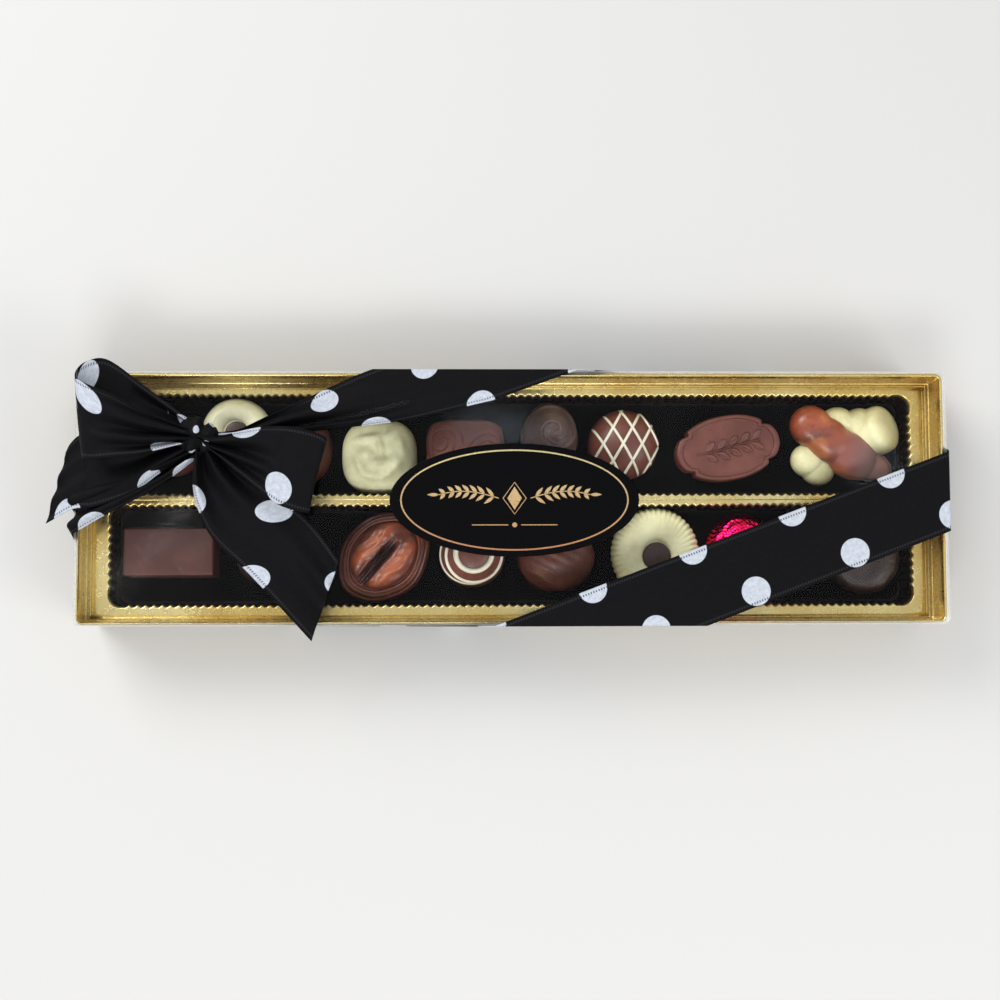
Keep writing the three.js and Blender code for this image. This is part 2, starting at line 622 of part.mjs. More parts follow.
// The bow's bands, as points along each edge. All but the ends of the runs lie above the lid.
const toKnot = (u) => 0.8 * THREE.MathUtils.smoothstep(u, 0.3, 1);
const fromKnot = (u) => toKnot(1 - u);
const bothEnds = (u) => Math.max(toKnot(u), fromKnot(u));
const BOW = {
  backRun: {
    far: [
      [22.4, OUT_Y, 30.8], [-7.3, 33.6, 30.8], [-38.2, 26.6, 31], [-65.7, 23.2, 31.6], [-86, 20, 32.4],
      [-97, 18.8, 33], [-104, 18, 33.4],
    ],
    near: [
      [-49.2, OUT_Y, 30.8], [-56.7, 41.4, 30.8], [-68.7, 35.6, 31.2], [-85.7, 27.4, 32.2],
      [-94.1, 23.3, 32.8], [-99.2, 22.3, 33.2], [-106, 22, 33.8],
    ],
    gather: toKnot,
  },
  leftRun: {
    far: [
      [-OUT_X, -12.6, 30.8], [-140, -5.9, 30.9], [-129.9, -0.6, 31], [-118.6, 6.2, 31.4],
      [-106, 15.5, 32.4],
    ],
    near: [
      [-OUT_X, 8, 30.8], [-140, 9.5, 30.9], [-129.9, 12.4, 31.1], [-118.6, 15.4, 31.6],
      [-107, 18.5, 32.4],
    ],
    gather: (u) => 0.6 * toKnot(u),
  },
  tailLeft: {
    far: [
      [-107, 18, 33.8], [-121, 8.4, 33.2], [-129, 2.2, 32.8], [-136, -0.9, 32.6], [-144.6, -3.5, 32],
      [-151, -4, 31.4], [-160.4, -8.8, 29.8],
    ],
    near: [
      [-108, 24, 34], [-121, 24, 33.5], [-130, 23.8, 33.2], [-138, 23.4, 33], [-147.5, 21.8, 32.4],
      [-151.6, 18.8, 32], [-153.4, 15.6, 31.6],
    ],
    gather: (u) => 0.7 * fromKnot(u),
  },
  tailRight: {
    far: [
      [-108.5, 20, 34.2], [-109.5, 11.9, 33.6], [-109.9, 3.4, 32.8], [-107.9, -5.1, 32],
      [-102.8, -14.7, 31.8], [-90.4, -26.6, 31.7], [-69.4, -49.2, 31.5],
    ],
    near: [
      [-105.8, 20, 33.8], [-102.5, 16.1, 33.2], [-94.1, 9.3, 32.4], [-83.6, 2.3, 31.95],
      [-74.4, -4.3, 31.8], [-67.5, -11.2, 31.7], [-60.1, -21.5, 31.5],
    ],
    gather: (u) => 0.5 * fromKnot(u),
  },
  loopLeft: {
    far: [
      [-108, 24, 36], [-124.9, 36.7, 35], [-138.5, 46.6, 36], [-145.4, 45.6, 38.6], [-148, 41.5, 41.8],
      [-145.6, 38.2, 44.6], [-134.7, 33.3, 45.2], [-125.8, 28.7, 44], [-119.5, 26, 42],
      [-108, 21.6, 38.4],
    ],
    near: [
      [-108, 18.5, 35.2], [-125, 17.2, 34.2], [-138, 16, 34], [-144, 14.5, 36], [-146, 13, 39.4],
      [-142.6, 12, 42.6], [-134, 12.8, 43], [-126, 13.9, 41.8], [-118, 16.2, 40], [-108, 19, 37.6],
    ],
    gather: bothEnds,
  },
  loopRight: {
    far: [
      [-108, 21.2, 38], [-101.5, 19.8, 39.4], [-93.5, 21.5, 40.6], [-85.4, 23, 41.4], [-77, 23.2, 41.8],
      [-69.9, 22, 41.4], [-65.2, 20.4, 40.2], [-63.9, 18.9, 38.2], [-65.5, 18.6, 36], [-76, 20, 34.6],
      [-90, 20.5, 34.8], [-108, 20, 35.4],
    ],
    near: [
      [-106.8, 19, 37.6], [-102, 15, 38.4], [-97.2, 11.1, 39], [-88.6, 3.6, 39.5], [-81.1, -2.5, 39.7],
      [-75.4, -4.8, 39.5], [-71.3, -5.8, 38.2], [-70, -5.8, 36.2], [-72.5, -5.2, 34.4], [-82, 0, 33.8],
      [-94, 9, 34.2], [-106, 17.5, 34.8],
    ],
    gather: bothEnds,
  },
};

const KNOT = { x: -107.5, y: 20.8, z: 35.6, length: 14.5, width: 13.5, height: 8.6 };
const KNOT_GAP = 0.5;

// The knot: a rounded lump of ribbon with two creases over it.
function knot(grow) {
  return solidOf(
    shaped(ballOf(18, 9), (p) => {
      const crease = 1 - 0.07 * Math.cos(3 * Math.atan2(p.y, p.x) + 4 * p.z);
      p.x = KNOT.x + p.x * crease * (KNOT.length + grow);
      p.y = KNOT.y + p.y * crease * (KNOT.width + grow);
      p.z = KNOT.z + p.z * (KNOT.height + grow);
    }),
  );
}

function backRun() {
  const [[x1, x2], [x3, x4]] = [CROSSINGS.backBottom, CROSSINGS.backTop];
  const wall = strip(
    [[x1, SIDE_Y, BASE_Z], [x2, SIDE_Y, BASE_Z], [x4, SIDE_Y, OUT_Z], [x3, SIDE_Y, OUT_Z]],
    [0, 1, 0],
  );
  return joined(wall, band(BOW.backRun));
}

function leftRun() {
  const [[y1, y2], [y3, y4]] = [CROSSINGS.leftBottom, CROSSINGS.leftTop];
  const wall = strip(
    [[-SIDE_X, y1, BASE_Z], [-SIDE_X, y2, BASE_Z], [-SIDE_X, y4, OUT_Z], [-SIDE_X, y3, OUT_Z]],
    [-1, 0, 0],
  );
  return joined(wall, band(BOW.leftRun));
}

// The ribbon's pieces, each cut clear of the knot and of the bands laid before it.
function ribbonPieces() {
  const fat = RIBBON_THICKNESS + 2 * BAND_CLEARANCE;
  const order = [
    ["ribbon_back_run", backRun(), BOW.backRun],
    ["ribbon_left_run", leftRun(), BOW.leftRun],
    ["ribbon_tail_left", solidOf(band(BOW.tailLeft)), BOW.tailLeft],
    ["ribbon_tail_right", solidOf(band(BOW.tailRight)), BOW.tailRight],
    ["ribbon_loop_left", solidOf(band({ ...BOW.loopLeft, steps: LOOP_STEPS })), BOW.loopLeft],
    ["ribbon_loop_right", solidOf(band({ ...BOW.loopRight, steps: LOOP_STEPS })), BOW.loopRight],
  ];
  const pieces = [
    ["ribbon_knot", knot(0)],
    ["ribbon_right_band", rightBand()],
    ["ribbon_under_right", underRight()],
    ["ribbon_under_left", underLeft()],
  ];
  let taken = knot(2 * KNOT_GAP);
  for (const [name, solid, shape] of order) {
    pieces.push([name, solid.subtract(taken)]);
    taken = taken.add(solidOf(band({ ...shape, thickness: fat, steps: LOOP_STEPS })));
  }
  return pieces;
}

function named(name, geometry, colour) {
  geometry.computeVertexNormals();
  const mesh = new THREE.Mesh(geometry, new THREE.MeshStandardMaterial(COLOURS[colour]));
  mesh.name = name;
  return mesh;
}

const box = new THREE.Group();
box.add(named("clear_lid", clearLid(), "clear"));
box.add(named("card_base", cardBase(), "card"));
box.add(named("gold_tray", goldTray(), "gold"));
box.add(named("liner_back", paperLiner(CHANNEL_Y), "liner"));
box.add(named("liner_front", paperLiner(-CHANNEL_Y), "liner"));
box.add(named("oval_sticker", ovalSticker(), "sticker"));
for (const { name, x, y, turn = 0, colour, make } of CHOCOLATES) {
  const mesh = named(name, make(), colour);
  mesh.position.set(x, y, CHOCOLATE_Z);
  mesh.rotation.z = THREE.MathUtils.degToRad(turn);
  box.add(mesh);
}
for (const [name, solid] of ribbonPieces()) box.add(named(name, geometryOf(solid), "ribbon"));

// The origin is the bottom centre of the whole.
const whole = new THREE.Box3().setFromObject(box, true);
const middle = whole.getCenter(new THREE.Vector3());
box.position.set(-middle.x, -middle.y, -whole.min.z);

const root = new THREE.Group();
root.add(box);
export default root;
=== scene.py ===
# %% [markdown]
# # A box of chocolate pralines
# The box is shut: a clear plastic lid over a gold tray with two fluted channels, a row of chocolates in each,
# an oval sticker on the lid and a dotted ribbon tied in a bow. The CAD solids give the size and the place of
# every piece. This lesson gives each of them its fine surface and its finish.

import bpy
import numpy as np
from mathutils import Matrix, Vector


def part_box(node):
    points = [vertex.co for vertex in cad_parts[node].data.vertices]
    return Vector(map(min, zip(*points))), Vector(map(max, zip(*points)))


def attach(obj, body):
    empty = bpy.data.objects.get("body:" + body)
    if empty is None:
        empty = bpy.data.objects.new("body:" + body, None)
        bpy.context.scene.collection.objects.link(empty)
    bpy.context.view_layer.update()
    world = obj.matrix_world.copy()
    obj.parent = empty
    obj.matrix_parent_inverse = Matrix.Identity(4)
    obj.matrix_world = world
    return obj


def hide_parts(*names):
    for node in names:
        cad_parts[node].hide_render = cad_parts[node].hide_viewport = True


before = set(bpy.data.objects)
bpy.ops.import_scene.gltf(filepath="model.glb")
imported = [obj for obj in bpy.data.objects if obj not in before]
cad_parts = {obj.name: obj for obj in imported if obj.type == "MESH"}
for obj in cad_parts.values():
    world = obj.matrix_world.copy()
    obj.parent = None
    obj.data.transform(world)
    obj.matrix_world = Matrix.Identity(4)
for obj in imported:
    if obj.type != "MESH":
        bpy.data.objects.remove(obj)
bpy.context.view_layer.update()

# %% [markdown]
# ## Where things are
# Every length below is in millimetres, measured from the middle of the lid, because that is how a maker would
# measure the box. Blender and the frame want metres from the frame's own origin. One small function does that
# step for whole arrays of points, so no piece is ever moved after it is made.

# %% Millimetres from the lid's middle
MM = 0.001
lid_low, lid_high = (np.array(corner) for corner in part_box("clear_lid"))
LID_MIDDLE = (lid_low + lid_high) / 2
LID_LENGTH, LID_WIDTH = ((lid_high - lid_low) / MM)[:2]
LID_FOOT, LID_TOP = lid_low[2] / MM, lid_high[2] / MM


def metres(points):
    """Millimetres from the lid's middle (heights from the floor) to metres in the frame."""
    return np.asarray(points, float) * MM + np.array([LID_MIDDLE[0], LID_MIDDLE[1], 0.0])


def middle_of(node):
    """The middle of a CAD node in x and y, and its lowest and highest z, in millimetres."""
    low, high = (np.array(corner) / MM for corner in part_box(node))
    centre = (low + high) / 2 - LID_MIDDLE / MM
    return centre[0], centre[1], low[2], high[2]


print(f"lid {LID_LENGTH:.1f} by {LID_WIDTH:.1f} mm, from z {LID_FOOT:.1f} to {LID_TOP:.1f}")

# %% [markdown]
# ## From arrays to meshes
# A surface here is an array of points on a grid: rows follow one parameter, columns the other. Two helpers
# turn such arrays into meshes. `sheet_mesh` joins neighbours in the grid, `round_mesh` also closes each ring
# and puts a fan of triangles on both ends, so that a dome or a ball has no open pole.

# %% Mesh helpers
def in_scene(name, data):
    """An object for a mesh, a lamp or a camera, put in the scene."""
    made = bpy.data.objects.new(name, data)
    bpy.context.scene.collection.objects.link(made)
    return made


def new_piece(name, points, faces, material, uv=None, smooth=True):
    """A mesh object from points in millimetres. uv gives two numbers, in millimetres, for each point."""
    mesh = bpy.data.meshes.new(name)
    mesh.from_pydata(metres(points).tolist(), [], faces)
    if uv is not None:
        corners = np.empty(len(mesh.loops), dtype=np.int32)
        mesh.loops.foreach_get("vertex_index", corners)
        layer = mesh.uv_layers.new(name="UVMap")
        layer.data.foreach_set("uv", (np.asarray(uv, float)[corners] * MM).ravel())
    mesh.materials.append(material)
    if smooth:
        mesh.polygons.foreach_set("use_smooth", np.ones(len(mesh.polygons), dtype=bool))
    mesh.update()
    return in_scene(name, mesh)


def grid_faces(rows, columns, close_rows=False, close_columns=False):
    """The four corners of each cell in a grid of point numbers, optionally joined round to its start."""
    numbers = np.arange(rows * columns).reshape(rows, columns)
    if close_rows:
        numbers = np.concatenate([numbers, numbers[:1]])
    if close_columns:
        numbers = np.concatenate([numbers, numbers[:, :1]], axis=1)
    cells = [numbers[:-1, :-1], numbers[:-1, 1:], numbers[1:, 1:], numbers[1:, :-1]]
    return np.stack(cells, -1).reshape(-1, 4)


def sheet_mesh(name, grid, material, uv=None, **joins):
    """A surface from grid[row, column] of points."""
    rows, columns = grid.shape[:2]
    faces = grid_faces(rows, columns, **joins).tolist()
    flat_uv = None if uv is None else uv.reshape(-1, 2)
    return new_piece(name, grid.reshape(-1, 3), faces, material, flat_uv)


def round_body(rings):
    """Points and faces of rings[ring, step] closed at both ends by a fan from the ring's middle."""
    count, steps = rings.shape[:2]
    points = np.concatenate([rings.reshape(-1, 3), rings[:1].mean(1), rings[-1:].mean(1)])
    first, last = np.arange(steps), np.arange(steps) + (count - 1) * steps
    foot = np.stack([np.roll(first, -1), first, np.full(steps, count * steps)], -1)
    crown = np.stack([last, np.roll(last, -1), np.full(steps, count * steps + 1)], -1)
    return points, grid_faces(count, steps, close_columns=True).tolist() + foot.tolist() + crown.tolist()


def round_mesh(name, rings, material):
    """A closed piece from rings[ring, step] of points."""
    points, faces = round_body(rings)
    return new_piece(name, points, faces, material)


def joined_mesh(name, bodies, material, smooth=True):
    """One piece from several (points, faces) bodies."""
    points, faces, start = [], [], 0
    for body_points, body_faces in bodies:
        points.append(body_points)
        faces += [[corner + start for corner in face] for face in body_faces]
        start += len(body_points)
    return new_piece(name, np.concatenate(points), faces, material, smooth=smooth)


def stands_for(piece, slot, *nodes):
    """Hides the CAD nodes that a piece replaces and hangs the piece on the box's root body. slot, its finish,
    is not used.
    """
    if nodes:
        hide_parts(*nodes)
    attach(piece, "root")
    return piece


# %% [markdown]
# ## Small tools for materials
# A material is a tree of nodes. The helpers below add a node, fill in its plain values and wire its inputs in
# one line, which keeps each material short enough to read.

# %% Node helpers
def fill(tree, node, inputs):
    """Sets each plain value on the node's socket and links each output of another node to it."""
    for key, value in inputs.items():
        if isinstance(value, bpy.types.NodeSocket):
            tree.links.new(value, node.inputs[key])
        else:
            node.inputs[key].default_value = value


def add(tree, kind, inputs=None, **settings):
    """Adds a node with its settings and fills in its inputs."""
    made = tree.nodes.new(kind)
    for key, value in settings.items():
        setattr(made, key, value)
    fill(tree, made, inputs or {})
    return made


def maths(tree, operation, *values):
    """One step of arithmetic on sockets or plain numbers."""
    return add(tree, "ShaderNodeMath", dict(enumerate(values)), operation=operation).outputs[0]


def blend_colours(tree, share, first, second):
    """Mixes two colours by a share from 0 to 1."""
    return add(tree, "ShaderNodeMix", {0: share, 6: first, 7: second}, data_type="RGBA").outputs[2]


def noise(tree, place, scale, detail=3.0, roughness=0.5):
    """Cloudy noise from 0 to 1. scale counts its patches in a metre."""
    inputs = {"Vector": place, "Scale": scale, "Detail": detail, "Roughness": roughness}
    return add(tree, "ShaderNodeTexNoise", inputs).outputs[0]


def rescale(tree, value, low, high, to_low=0.0, to_high=1.0):
    """Maps low..high to to_low..to_high and clamps."""
    inputs = {0: value, 1: low, 2: high, 3: to_low, 4: to_high}
    return add(tree, "ShaderNodeMapRange", inputs).outputs[0]


def bump(tree, height, strength, distance):
    """The normal of a surface that a height of 1 lifts by distance, in metres."""
    inputs = {"Height": height, "Strength": strength, "Distance": distance}
    return add(tree, "ShaderNodeBump", inputs).outputs[0]


def rgb(red, green, blue):
    """A colour as it looks on screen, from 0 to 255 each, turned into the linear light that Blender uses."""
    screen = np.array([red, green, blue]) / 255
    linear = np.where(screen <= 0.04045, screen / 12.92, ((screen + 0.055) / 1.055) ** 2.4)
    return (*linear.tolist(), 1.0)


def new_material(name):
    """A new material: returns it, its tree and its Principled shader."""
    material = bpy.data.materials.new(name)
    material.use_nodes = True
    tree = material.node_tree
    shader = tree.nodes["Principled BSDF"]
    return material, tree, shader


def new_group(name, inputs, outputs):
    """A shader node group with named sockets: returns its tree, its inputs and its output node."""
    tree = bpy.data.node_groups.new(name, "ShaderNodeTree")
    for label, kind, value in inputs:
        socket = tree.interface.new_socket(label, in_out="INPUT", socket_type="NodeSocket" + kind)
        if value is not None:
            socket.default_value = value
    for label, kind in outputs:
        tree.interface.new_socket(label, in_out="OUTPUT", socket_type="NodeSocket" + kind)
    entry = tree.nodes.new("NodeGroupInput")
    return tree, entry.outputs, tree.nodes.new("NodeGroupOutput")


# %% [markdown]
# ## The skin of tempered chocolate
# Chocolate out of a mould is smooth but never flat in colour: it has cloudy patches where it set a little
# faster, a dusting of fat bloom, and tiny pits. All the brown and white pieces share this, so it is one node
# group that puts out a colour, a roughness and a height, and each chocolate feeds it its own base colour.

# %% Chocolate skin group
def chocolate_skin_group():
    sockets = [("Colour", "Color", None), ("Bloom Colour", "Color", None), ("Bloom", "Float", 0.25)]
    sockets += [("Gloss", "Float", 0.4)]
    results = [("Colour", "Color"), ("Roughness", "Float"), ("Height", "Float")]
    tree, given, result = new_group("chocolate skin", sockets, results)
    place = add(tree, "ShaderNodeTexCoord").outputs["Object"]
    clouds = noise(tree, place, 90.0, 4.0, 0.6)
    dust = noise(tree, place, 900.0, 3.0, 0.7)
    pits = noise(tree, place, 2600.0, 2.0)
    shade = rescale(tree, clouds, 0.3, 0.7, 0.78, 1.12)
    deep = add(tree, "ShaderNodeHueSaturation", {"Value": shade, "Color": given["Colour"]}).outputs[0]
    dusty = rescale(tree, maths(tree, "MULTIPLY", clouds, dust), 0.2, 0.38)
    cover = maths(tree, "MULTIPLY", dusty, given["Bloom"])
    tree.links.new(blend_colours(tree, cover, deep, given["Bloom Colour"]), result.inputs["Colour"])
    rough = maths(tree, "ADD", given["Gloss"], rescale(tree, dust, 0.35, 0.7, -0.05, 0.14))
    tree.links.new(rough, result.inputs["Roughness"])
    height = maths(tree, "ADD", clouds, maths(tree, "MULTIPLY", pits, 0.12))
    tree.links.new(height, result.inputs["Height"])
    return tree


CHOCOLATE_SKIN = chocolate_skin_group()


def wear_skin(tree, shader, colour, bloom_colour, bloom, gloss, relief):
    """Gives a shader the shared skin, with this colour, bloom, gloss and strength of relief."""
    inputs = {"Colour": colour, "Bloom Colour": bloom_colour, "Bloom": bloom, "Gloss": gloss}
    skin = add(tree, "ShaderNodeGroup", node_tree=CHOCOLATE_SKIN)
    fill(tree, skin, inputs)
    normal = bump(tree, skin.outputs["Height"], relief, 0.0004)
    worn = {"Base Color": skin.outputs["Colour"], "Roughness": skin.outputs["Roughness"], "Normal": normal}
    fill(tree, shader, worn)


def chocolate(name, colour, bloom_colour, bloom=0.25, gloss=0.4):
    """A chocolate's material, in one colour."""
    material, tree, shader = new_material(name)
    wear_skin(tree, shader, colour, bloom_colour, bloom, gloss, 0.35)
    shader.inputs["IOR"].default_value = 1.45
    return material


MILK = chocolate("milk chocolate", rgb(94, 49, 40), rgb(128, 80, 70), 0.3)
# The bar's own deeper milk chocolate. On the oval milk dome it is painted shade, for the shade that dome lies
# in.
DEEP_MILK_AND_PAINTED_SHADE = chocolate("deeper milk chocolate and painted shade", rgb(66, 29, 21), rgb(90, 48, 38), 0.3)
# A lighter copy of milk chocolate: a painted highlight, for the light on the barrel's top.
MILK_PAINTED_HIGHLIGHT = chocolate("milk chocolate lightened by painted highlight", rgb(122, 67, 54), rgb(150, 98, 84), 0.3)
DARK = chocolate("dark chocolate", rgb(41, 26, 22), rgb(72, 55, 50), 0.35)
COCOA = chocolate("cocoa brown chocolate", rgb(62, 42, 35), rgb(96, 76, 68), 0.3)
ASH = chocolate("pale dark chocolate", rgb(76, 58, 56), rgb(122, 104, 98), 0.4)
WHITE = chocolate("white chocolate", rgb(217, 211, 161), rgb(232, 229, 194), 0.4, 0.38)
IVORY = chocolate("ivory chocolate", rgb(250, 244, 193), rgb(253, 250, 218), 0.4, 0.38)
CREAM = chocolate("cream chocolate", rgb(224, 221, 176), rgb(240, 238, 206), 0.4, 0.42)
# A lighter copy of white chocolate: painted light on the white ring, against the shade of the bow and the
# ribbon over it.
WHITE_PAINTED_LIGHT = chocolate("white chocolate lightened by painted light", rgb(246, 243, 204), rgb(252, 250, 226), 0.4, 0.38)
PIPING = chocolate("piped white chocolate", rgb(216, 212, 190), rgb(236, 234, 220), 0.3, 0.4)
CHOCOLATES = (MILK, DEEP_MILK_AND_PAINTED_SHADE, MILK_PAINTED_HIGHLIGHT, DARK, COCOA, ASH, WHITE, IVORY, CREAM, WHITE_PAINTED_LIGHT, PIPING)
print("chocolates:", [made.name for made in CHOCOLATES])

# %% [markdown]
# ## Shapes out of a mould
# Most of the pieces are domes: a flat foot, a side that is nearly upright and a round or boxy crown. A
# superellipse covers all of them with one power. The relief on the crown, such as ridges or a sprig, is a
# height that is added along the surface's own normal, so that it also wraps over the shoulder.

# %% Dome maths
STEPS = 144
RINGS = 72
SHOULDER = 0.18


def placed(node, x, y, z, turn=0.0, moved=(0.0, 0.0)):
    """Points on the spot of a CAD node: turned in plan, moved in plan, with heights from the node's foot."""
    x0, y0, low, _ = middle_of(node)
    c, s = np.cos(turn), np.sin(turn)
    return np.stack([x0 + moved[0] + c * x - s * y, y0 + moved[1] + s * x + c * y, low + z + 0 * x], -1)


def push_out(rings, amount):
    """Moves each point of rings[ring, step] along the surface's normal by amount, in millimetres."""
    along = np.gradient(rings, axis=0)
    around = (np.roll(rings, -1, axis=1) - np.roll(rings, 1, axis=1)) / 2
    normal = np.cross(around, along)
    size = np.linalg.norm(normal, axis=-1, keepdims=True)
    return rings + normal / np.maximum(size, 1e-9) * amount[..., None]


def dome(node, length, width, height, power, outline=None, relief=None, steps=STEPS, moved=(0.0, 0.0)):
    """Rings of a moulded dome that stands where a CAD node does.

    The reach from the middle falls as cos to the power 2/p while the height rises as sin to the power 2/p,
    from the shoulder up. The foot is a flat disc and a short round edge. outline(angle) scales the reach, and
    relief(x, y, reach, angle) is a height in millimetres. moved shifts it in plan.
    """
    quarter = np.linspace(0, np.pi / 2, RINGS)[:-1, None]
    angle = np.linspace(0, 2 * np.pi, steps, endpoint=False)[None]
    foot_reach = np.array([[0.9], [0.95], [0.985]])
    foot_height = np.array([[0.0], [0.012], [0.06]])
    reach = np.concatenate([foot_reach, np.cos(quarter) ** (2 / power)]) + 0 * angle
    crown = SHOULDER + (1 - SHOULDER) * np.sin(quarter) ** (2 / power)
    rise = np.concatenate([foot_height, crown]) + 0 * angle
    swell = outline(angle) if outline else 1.0
    x, y = reach * swell * np.cos(angle) * length / 2, reach * swell * np.sin(angle) * width / 2
    rings = np.stack([x, y, rise * height], -1)
    if relief:
        fade = np.clip((rise - 0.15) / 0.2, 0, 1)
        rings = push_out(rings, relief(x, y, reach, angle) * fade)
    return placed(node, *np.moveaxis(rings, -1, 0), moved=moved)


def ridge(distance, width):
    """A soft line: 1 on the line, falling to 0 over its width."""
    return np.exp(-((distance / width) ** 2))


def squared(power):
    """An outline between an oval (power 2) and a rectangle: |cos|^p + |sin|^p = 1 / reach^p."""
    return lambda angle: (np.abs(np.cos(angle)) ** power + np.abs(np.sin(angle)) ** power) ** (-1 / power)


# %% [markdown]
# ## Plain domes
# Some of the chocolates hardly show, because the bow or the ribbon lies over them. They are still finished
# like the ones that do: smooth domes with the faint swirl that a dipping fork leaves.

# %% Dipped domes
def dipped_swirl(x, y, reach, angle):
    """A low ridge that winds once round the crown while it closes in on the middle."""
    winding = (angle / (2 * np.pi) + reach * 1.6) % 1.0
    return 0.35 * ridge(winding - 0.5, 0.16) * np.clip(1.3 - reach, 0, 1)


PLAIN_DOMES = [
    ("milk_round", MILK, "milk_chocolate", 22.4, 22.4, 14.5, 2.3),
    # The oval dome wears the deeper milk chocolate as painted shade.
    ("milk_oval", DEEP_MILK_AND_PAINTED_SHADE, "milk_chocolate", 20.5, 26.0, 13.5, 2.5),
    ("dark_dome", DARK, "dark_chocolate", 21.0, 21.0, 14.5, 2.2),
]
for node, material, slot, length, width, height, power in PLAIN_DOMES:
    rings = dome(node, length, width, height, power, relief=dipped_swirl)
    stands_for(round_mesh(node + "_shell", rings, material), slot, node)
print("plain domes:", [row[0] for row in PLAIN_DOMES])

# %% [markdown]
# ## Dome with a piped lattice
# White lines are piped over this dome in two directions, each steeper than half a right angle. The lines are
# real geometry: a half-round bead that follows the dome, because a line that only changed the colour would
# have no edge and no shadow.

# %% Lattice dome
DOME_SIZE, DOME_HEIGHT, DOME_POWER = 25.4, 16.0, 2.2
BEAD = 0.5


def dome_height(x, y, size=DOME_SIZE, height=DOME_HEIGHT, power=DOME_POWER):
    """The height of the dome over a point, the same superellipse as its rings."""
    reach = np.clip(2 * np.hypot(x, y) / size, 0, 0.9999)
    return height * (SHOULDER + (1 - SHOULDER) * (1 - reach**power) ** (1 / power))


def bead(path, radius, sides=10, closed=False):
    """Points and faces of a round bead along path[i]. Its ends taper off unless it closes on itself."""
    if closed:
        forward = np.roll(path, -1, axis=0) - np.roll(path, 1, axis=0)
        size = np.full(len(path), radius)
    else:
        forward = np.gradient(path, axis=0)
        share = np.linspace(0, 1, len(path))
        size = radius * np.clip(np.sin(np.pi * np.clip(share, 0.004, 0.996)) * 6, 0, 1) ** 0.5
    forward /= np.linalg.norm(forward, axis=1, keepdims=True)
    side = np.cross(forward, [0.0, 0.0, 1.0])
    side /= np.linalg.norm(side, axis=1, keepdims=True)
    up = np.cross(side, forward)
    around = np.linspace(0, 2 * np.pi, sides, endpoint=False)
    ring = np.cos(around)[None, :, None] * side[:, None] + np.sin(around)[None, :, None] * up[:, None]
    rings = path[:, None] + ring * size[:, None, None]
    if not closed:
        return round_body(rings)
    return rings.reshape(-1, 3), grid_faces(*rings.shape[:2], close_rows=True, close_columns=True).tolist()


def lattice_beads(node, pitch=5.9, lean=np.radians(60), phase=(0.6, -1.2)):
    """Beads along straight lines in plan, at one angle and its mirror image, laid on the dome."""
    x0, y0, low, _ = middle_of(node)
    bodies = []
    for way, shift in zip((1, -1), phase):
        run = np.array([np.cos(lean), way * np.sin(lean)])
        across = np.array([-run[1], run[0]])
        for k in range(-2, 3):
            offset = k * pitch + shift
            half = np.sqrt(max((DOME_SIZE / 2 - 0.15) ** 2 - offset**2, 0))
            if half < 3:
                continue
            s = np.linspace(-half, half, 60)
            plan = across * offset + s[:, None] * run
            z = dome_height(plan[:, 0], plan[:, 1]) + 0.12
            bodies.append(bead(np.column_stack([plan + [x0, y0], z + low]), BEAD))
    return bodies


lattice_rings = dome("lattice_dome", DOME_SIZE, DOME_SIZE, DOME_HEIGHT, DOME_POWER)
stands_for(round_mesh("lattice_dome_shell", lattice_rings, MILK), "milk_chocolate", "lattice_dome")
lattice = joined_mesh("lattice_lines", lattice_beads("lattice_dome"), PIPING)
stands_for(lattice, "white_chocolate")
print("lattice lines:", len(lattice.data.vertices), "points")

# %% [markdown]
# ## White ring and fluted disc
# Both are round, with a well in the crown that holds a button of dark chocolate. They are a profile carried
# round an axis. The disc's edge is also fluted: its radius swells and shrinks as the size of a cosine, and
# the same ridges run in over the crown and fade out before the well.

# %% Turned pieces
def smooth_profile(points, count):
    """A Catmull-Rom curve through points in two or three numbers, sampled evenly from point to point."""
    p = np.asarray(points, float)
    padded = np.concatenate([2 * p[:1] - p[1:2], p, 2 * p[-1:] - p[-2:-1]])
    t = np.linspace(0, len(p) - 1, count)
    i = np.minimum(t.astype(int), len(p) - 2)
    f = (t - i)[:, None]
    a, b, c, d = (padded[i + k] for k in range(4))
    return 0.5 * (2 * b + (c - a) * f + (2 * a - 5 * b + 4 * c - d) * f**2 + (3 * b - a - 3 * c + d) * f**3)


def turned(node, profile, steps=STEPS, count=90, ripple=None):
    """Rings of a profile carried round the upright axis of a CAD node.

    ripple(radius, angle, height) gives what is added to the radius and to the height.
    """
    x0, y0, low, _ = middle_of(node)
    curve = smooth_profile(profile, count)
    angle = np.linspace(0, 2 * np.pi, steps, endpoint=False)[None]
    radius = curve[:, :1] + 0 * angle
    height = curve[:, 1:] + 0 * angle
    if ripple:
        change, lift = ripple(radius, angle, height)
        radius, height = radius + change, height + lift
    return np.stack([x0 + radius * np.cos(angle), y0 + radius * np.sin(angle), low + height], -1)


RING_PROFILE = [
    (8.5, 0), (10.6, 0.05), (11.3, 0.8), (11.8, 3.5), (11.7, 7.2), (10.6, 10.8), (8.6, 12.8), (7.0, 13.0),
    (5.4, 12.4), (4.3, 11.4), (3.9, 10.7), (2, 10.6), (0.4, 10.6),
]
DISC_PROFILE = [
    (11.4, 0), (14.7, 0.05), (15.3, 0.8), (15.6, 3.0), (15.6, 6.4), (14.9, 9.2), (13.2, 11.2), (10.8, 12.0),
    (8.0, 11.9), (6.2, 11.5), (5.3, 10.7), (4.8, 10.1), (2, 10.0), (0.4, 10.0),
]
RING_GROWTH, RING_SHIFT = 1.06, (-0.7, 0.5, 0.0)
DISC_STRETCH, WELL_SHIFT = 1.035, 1.2
FLUTES = 46


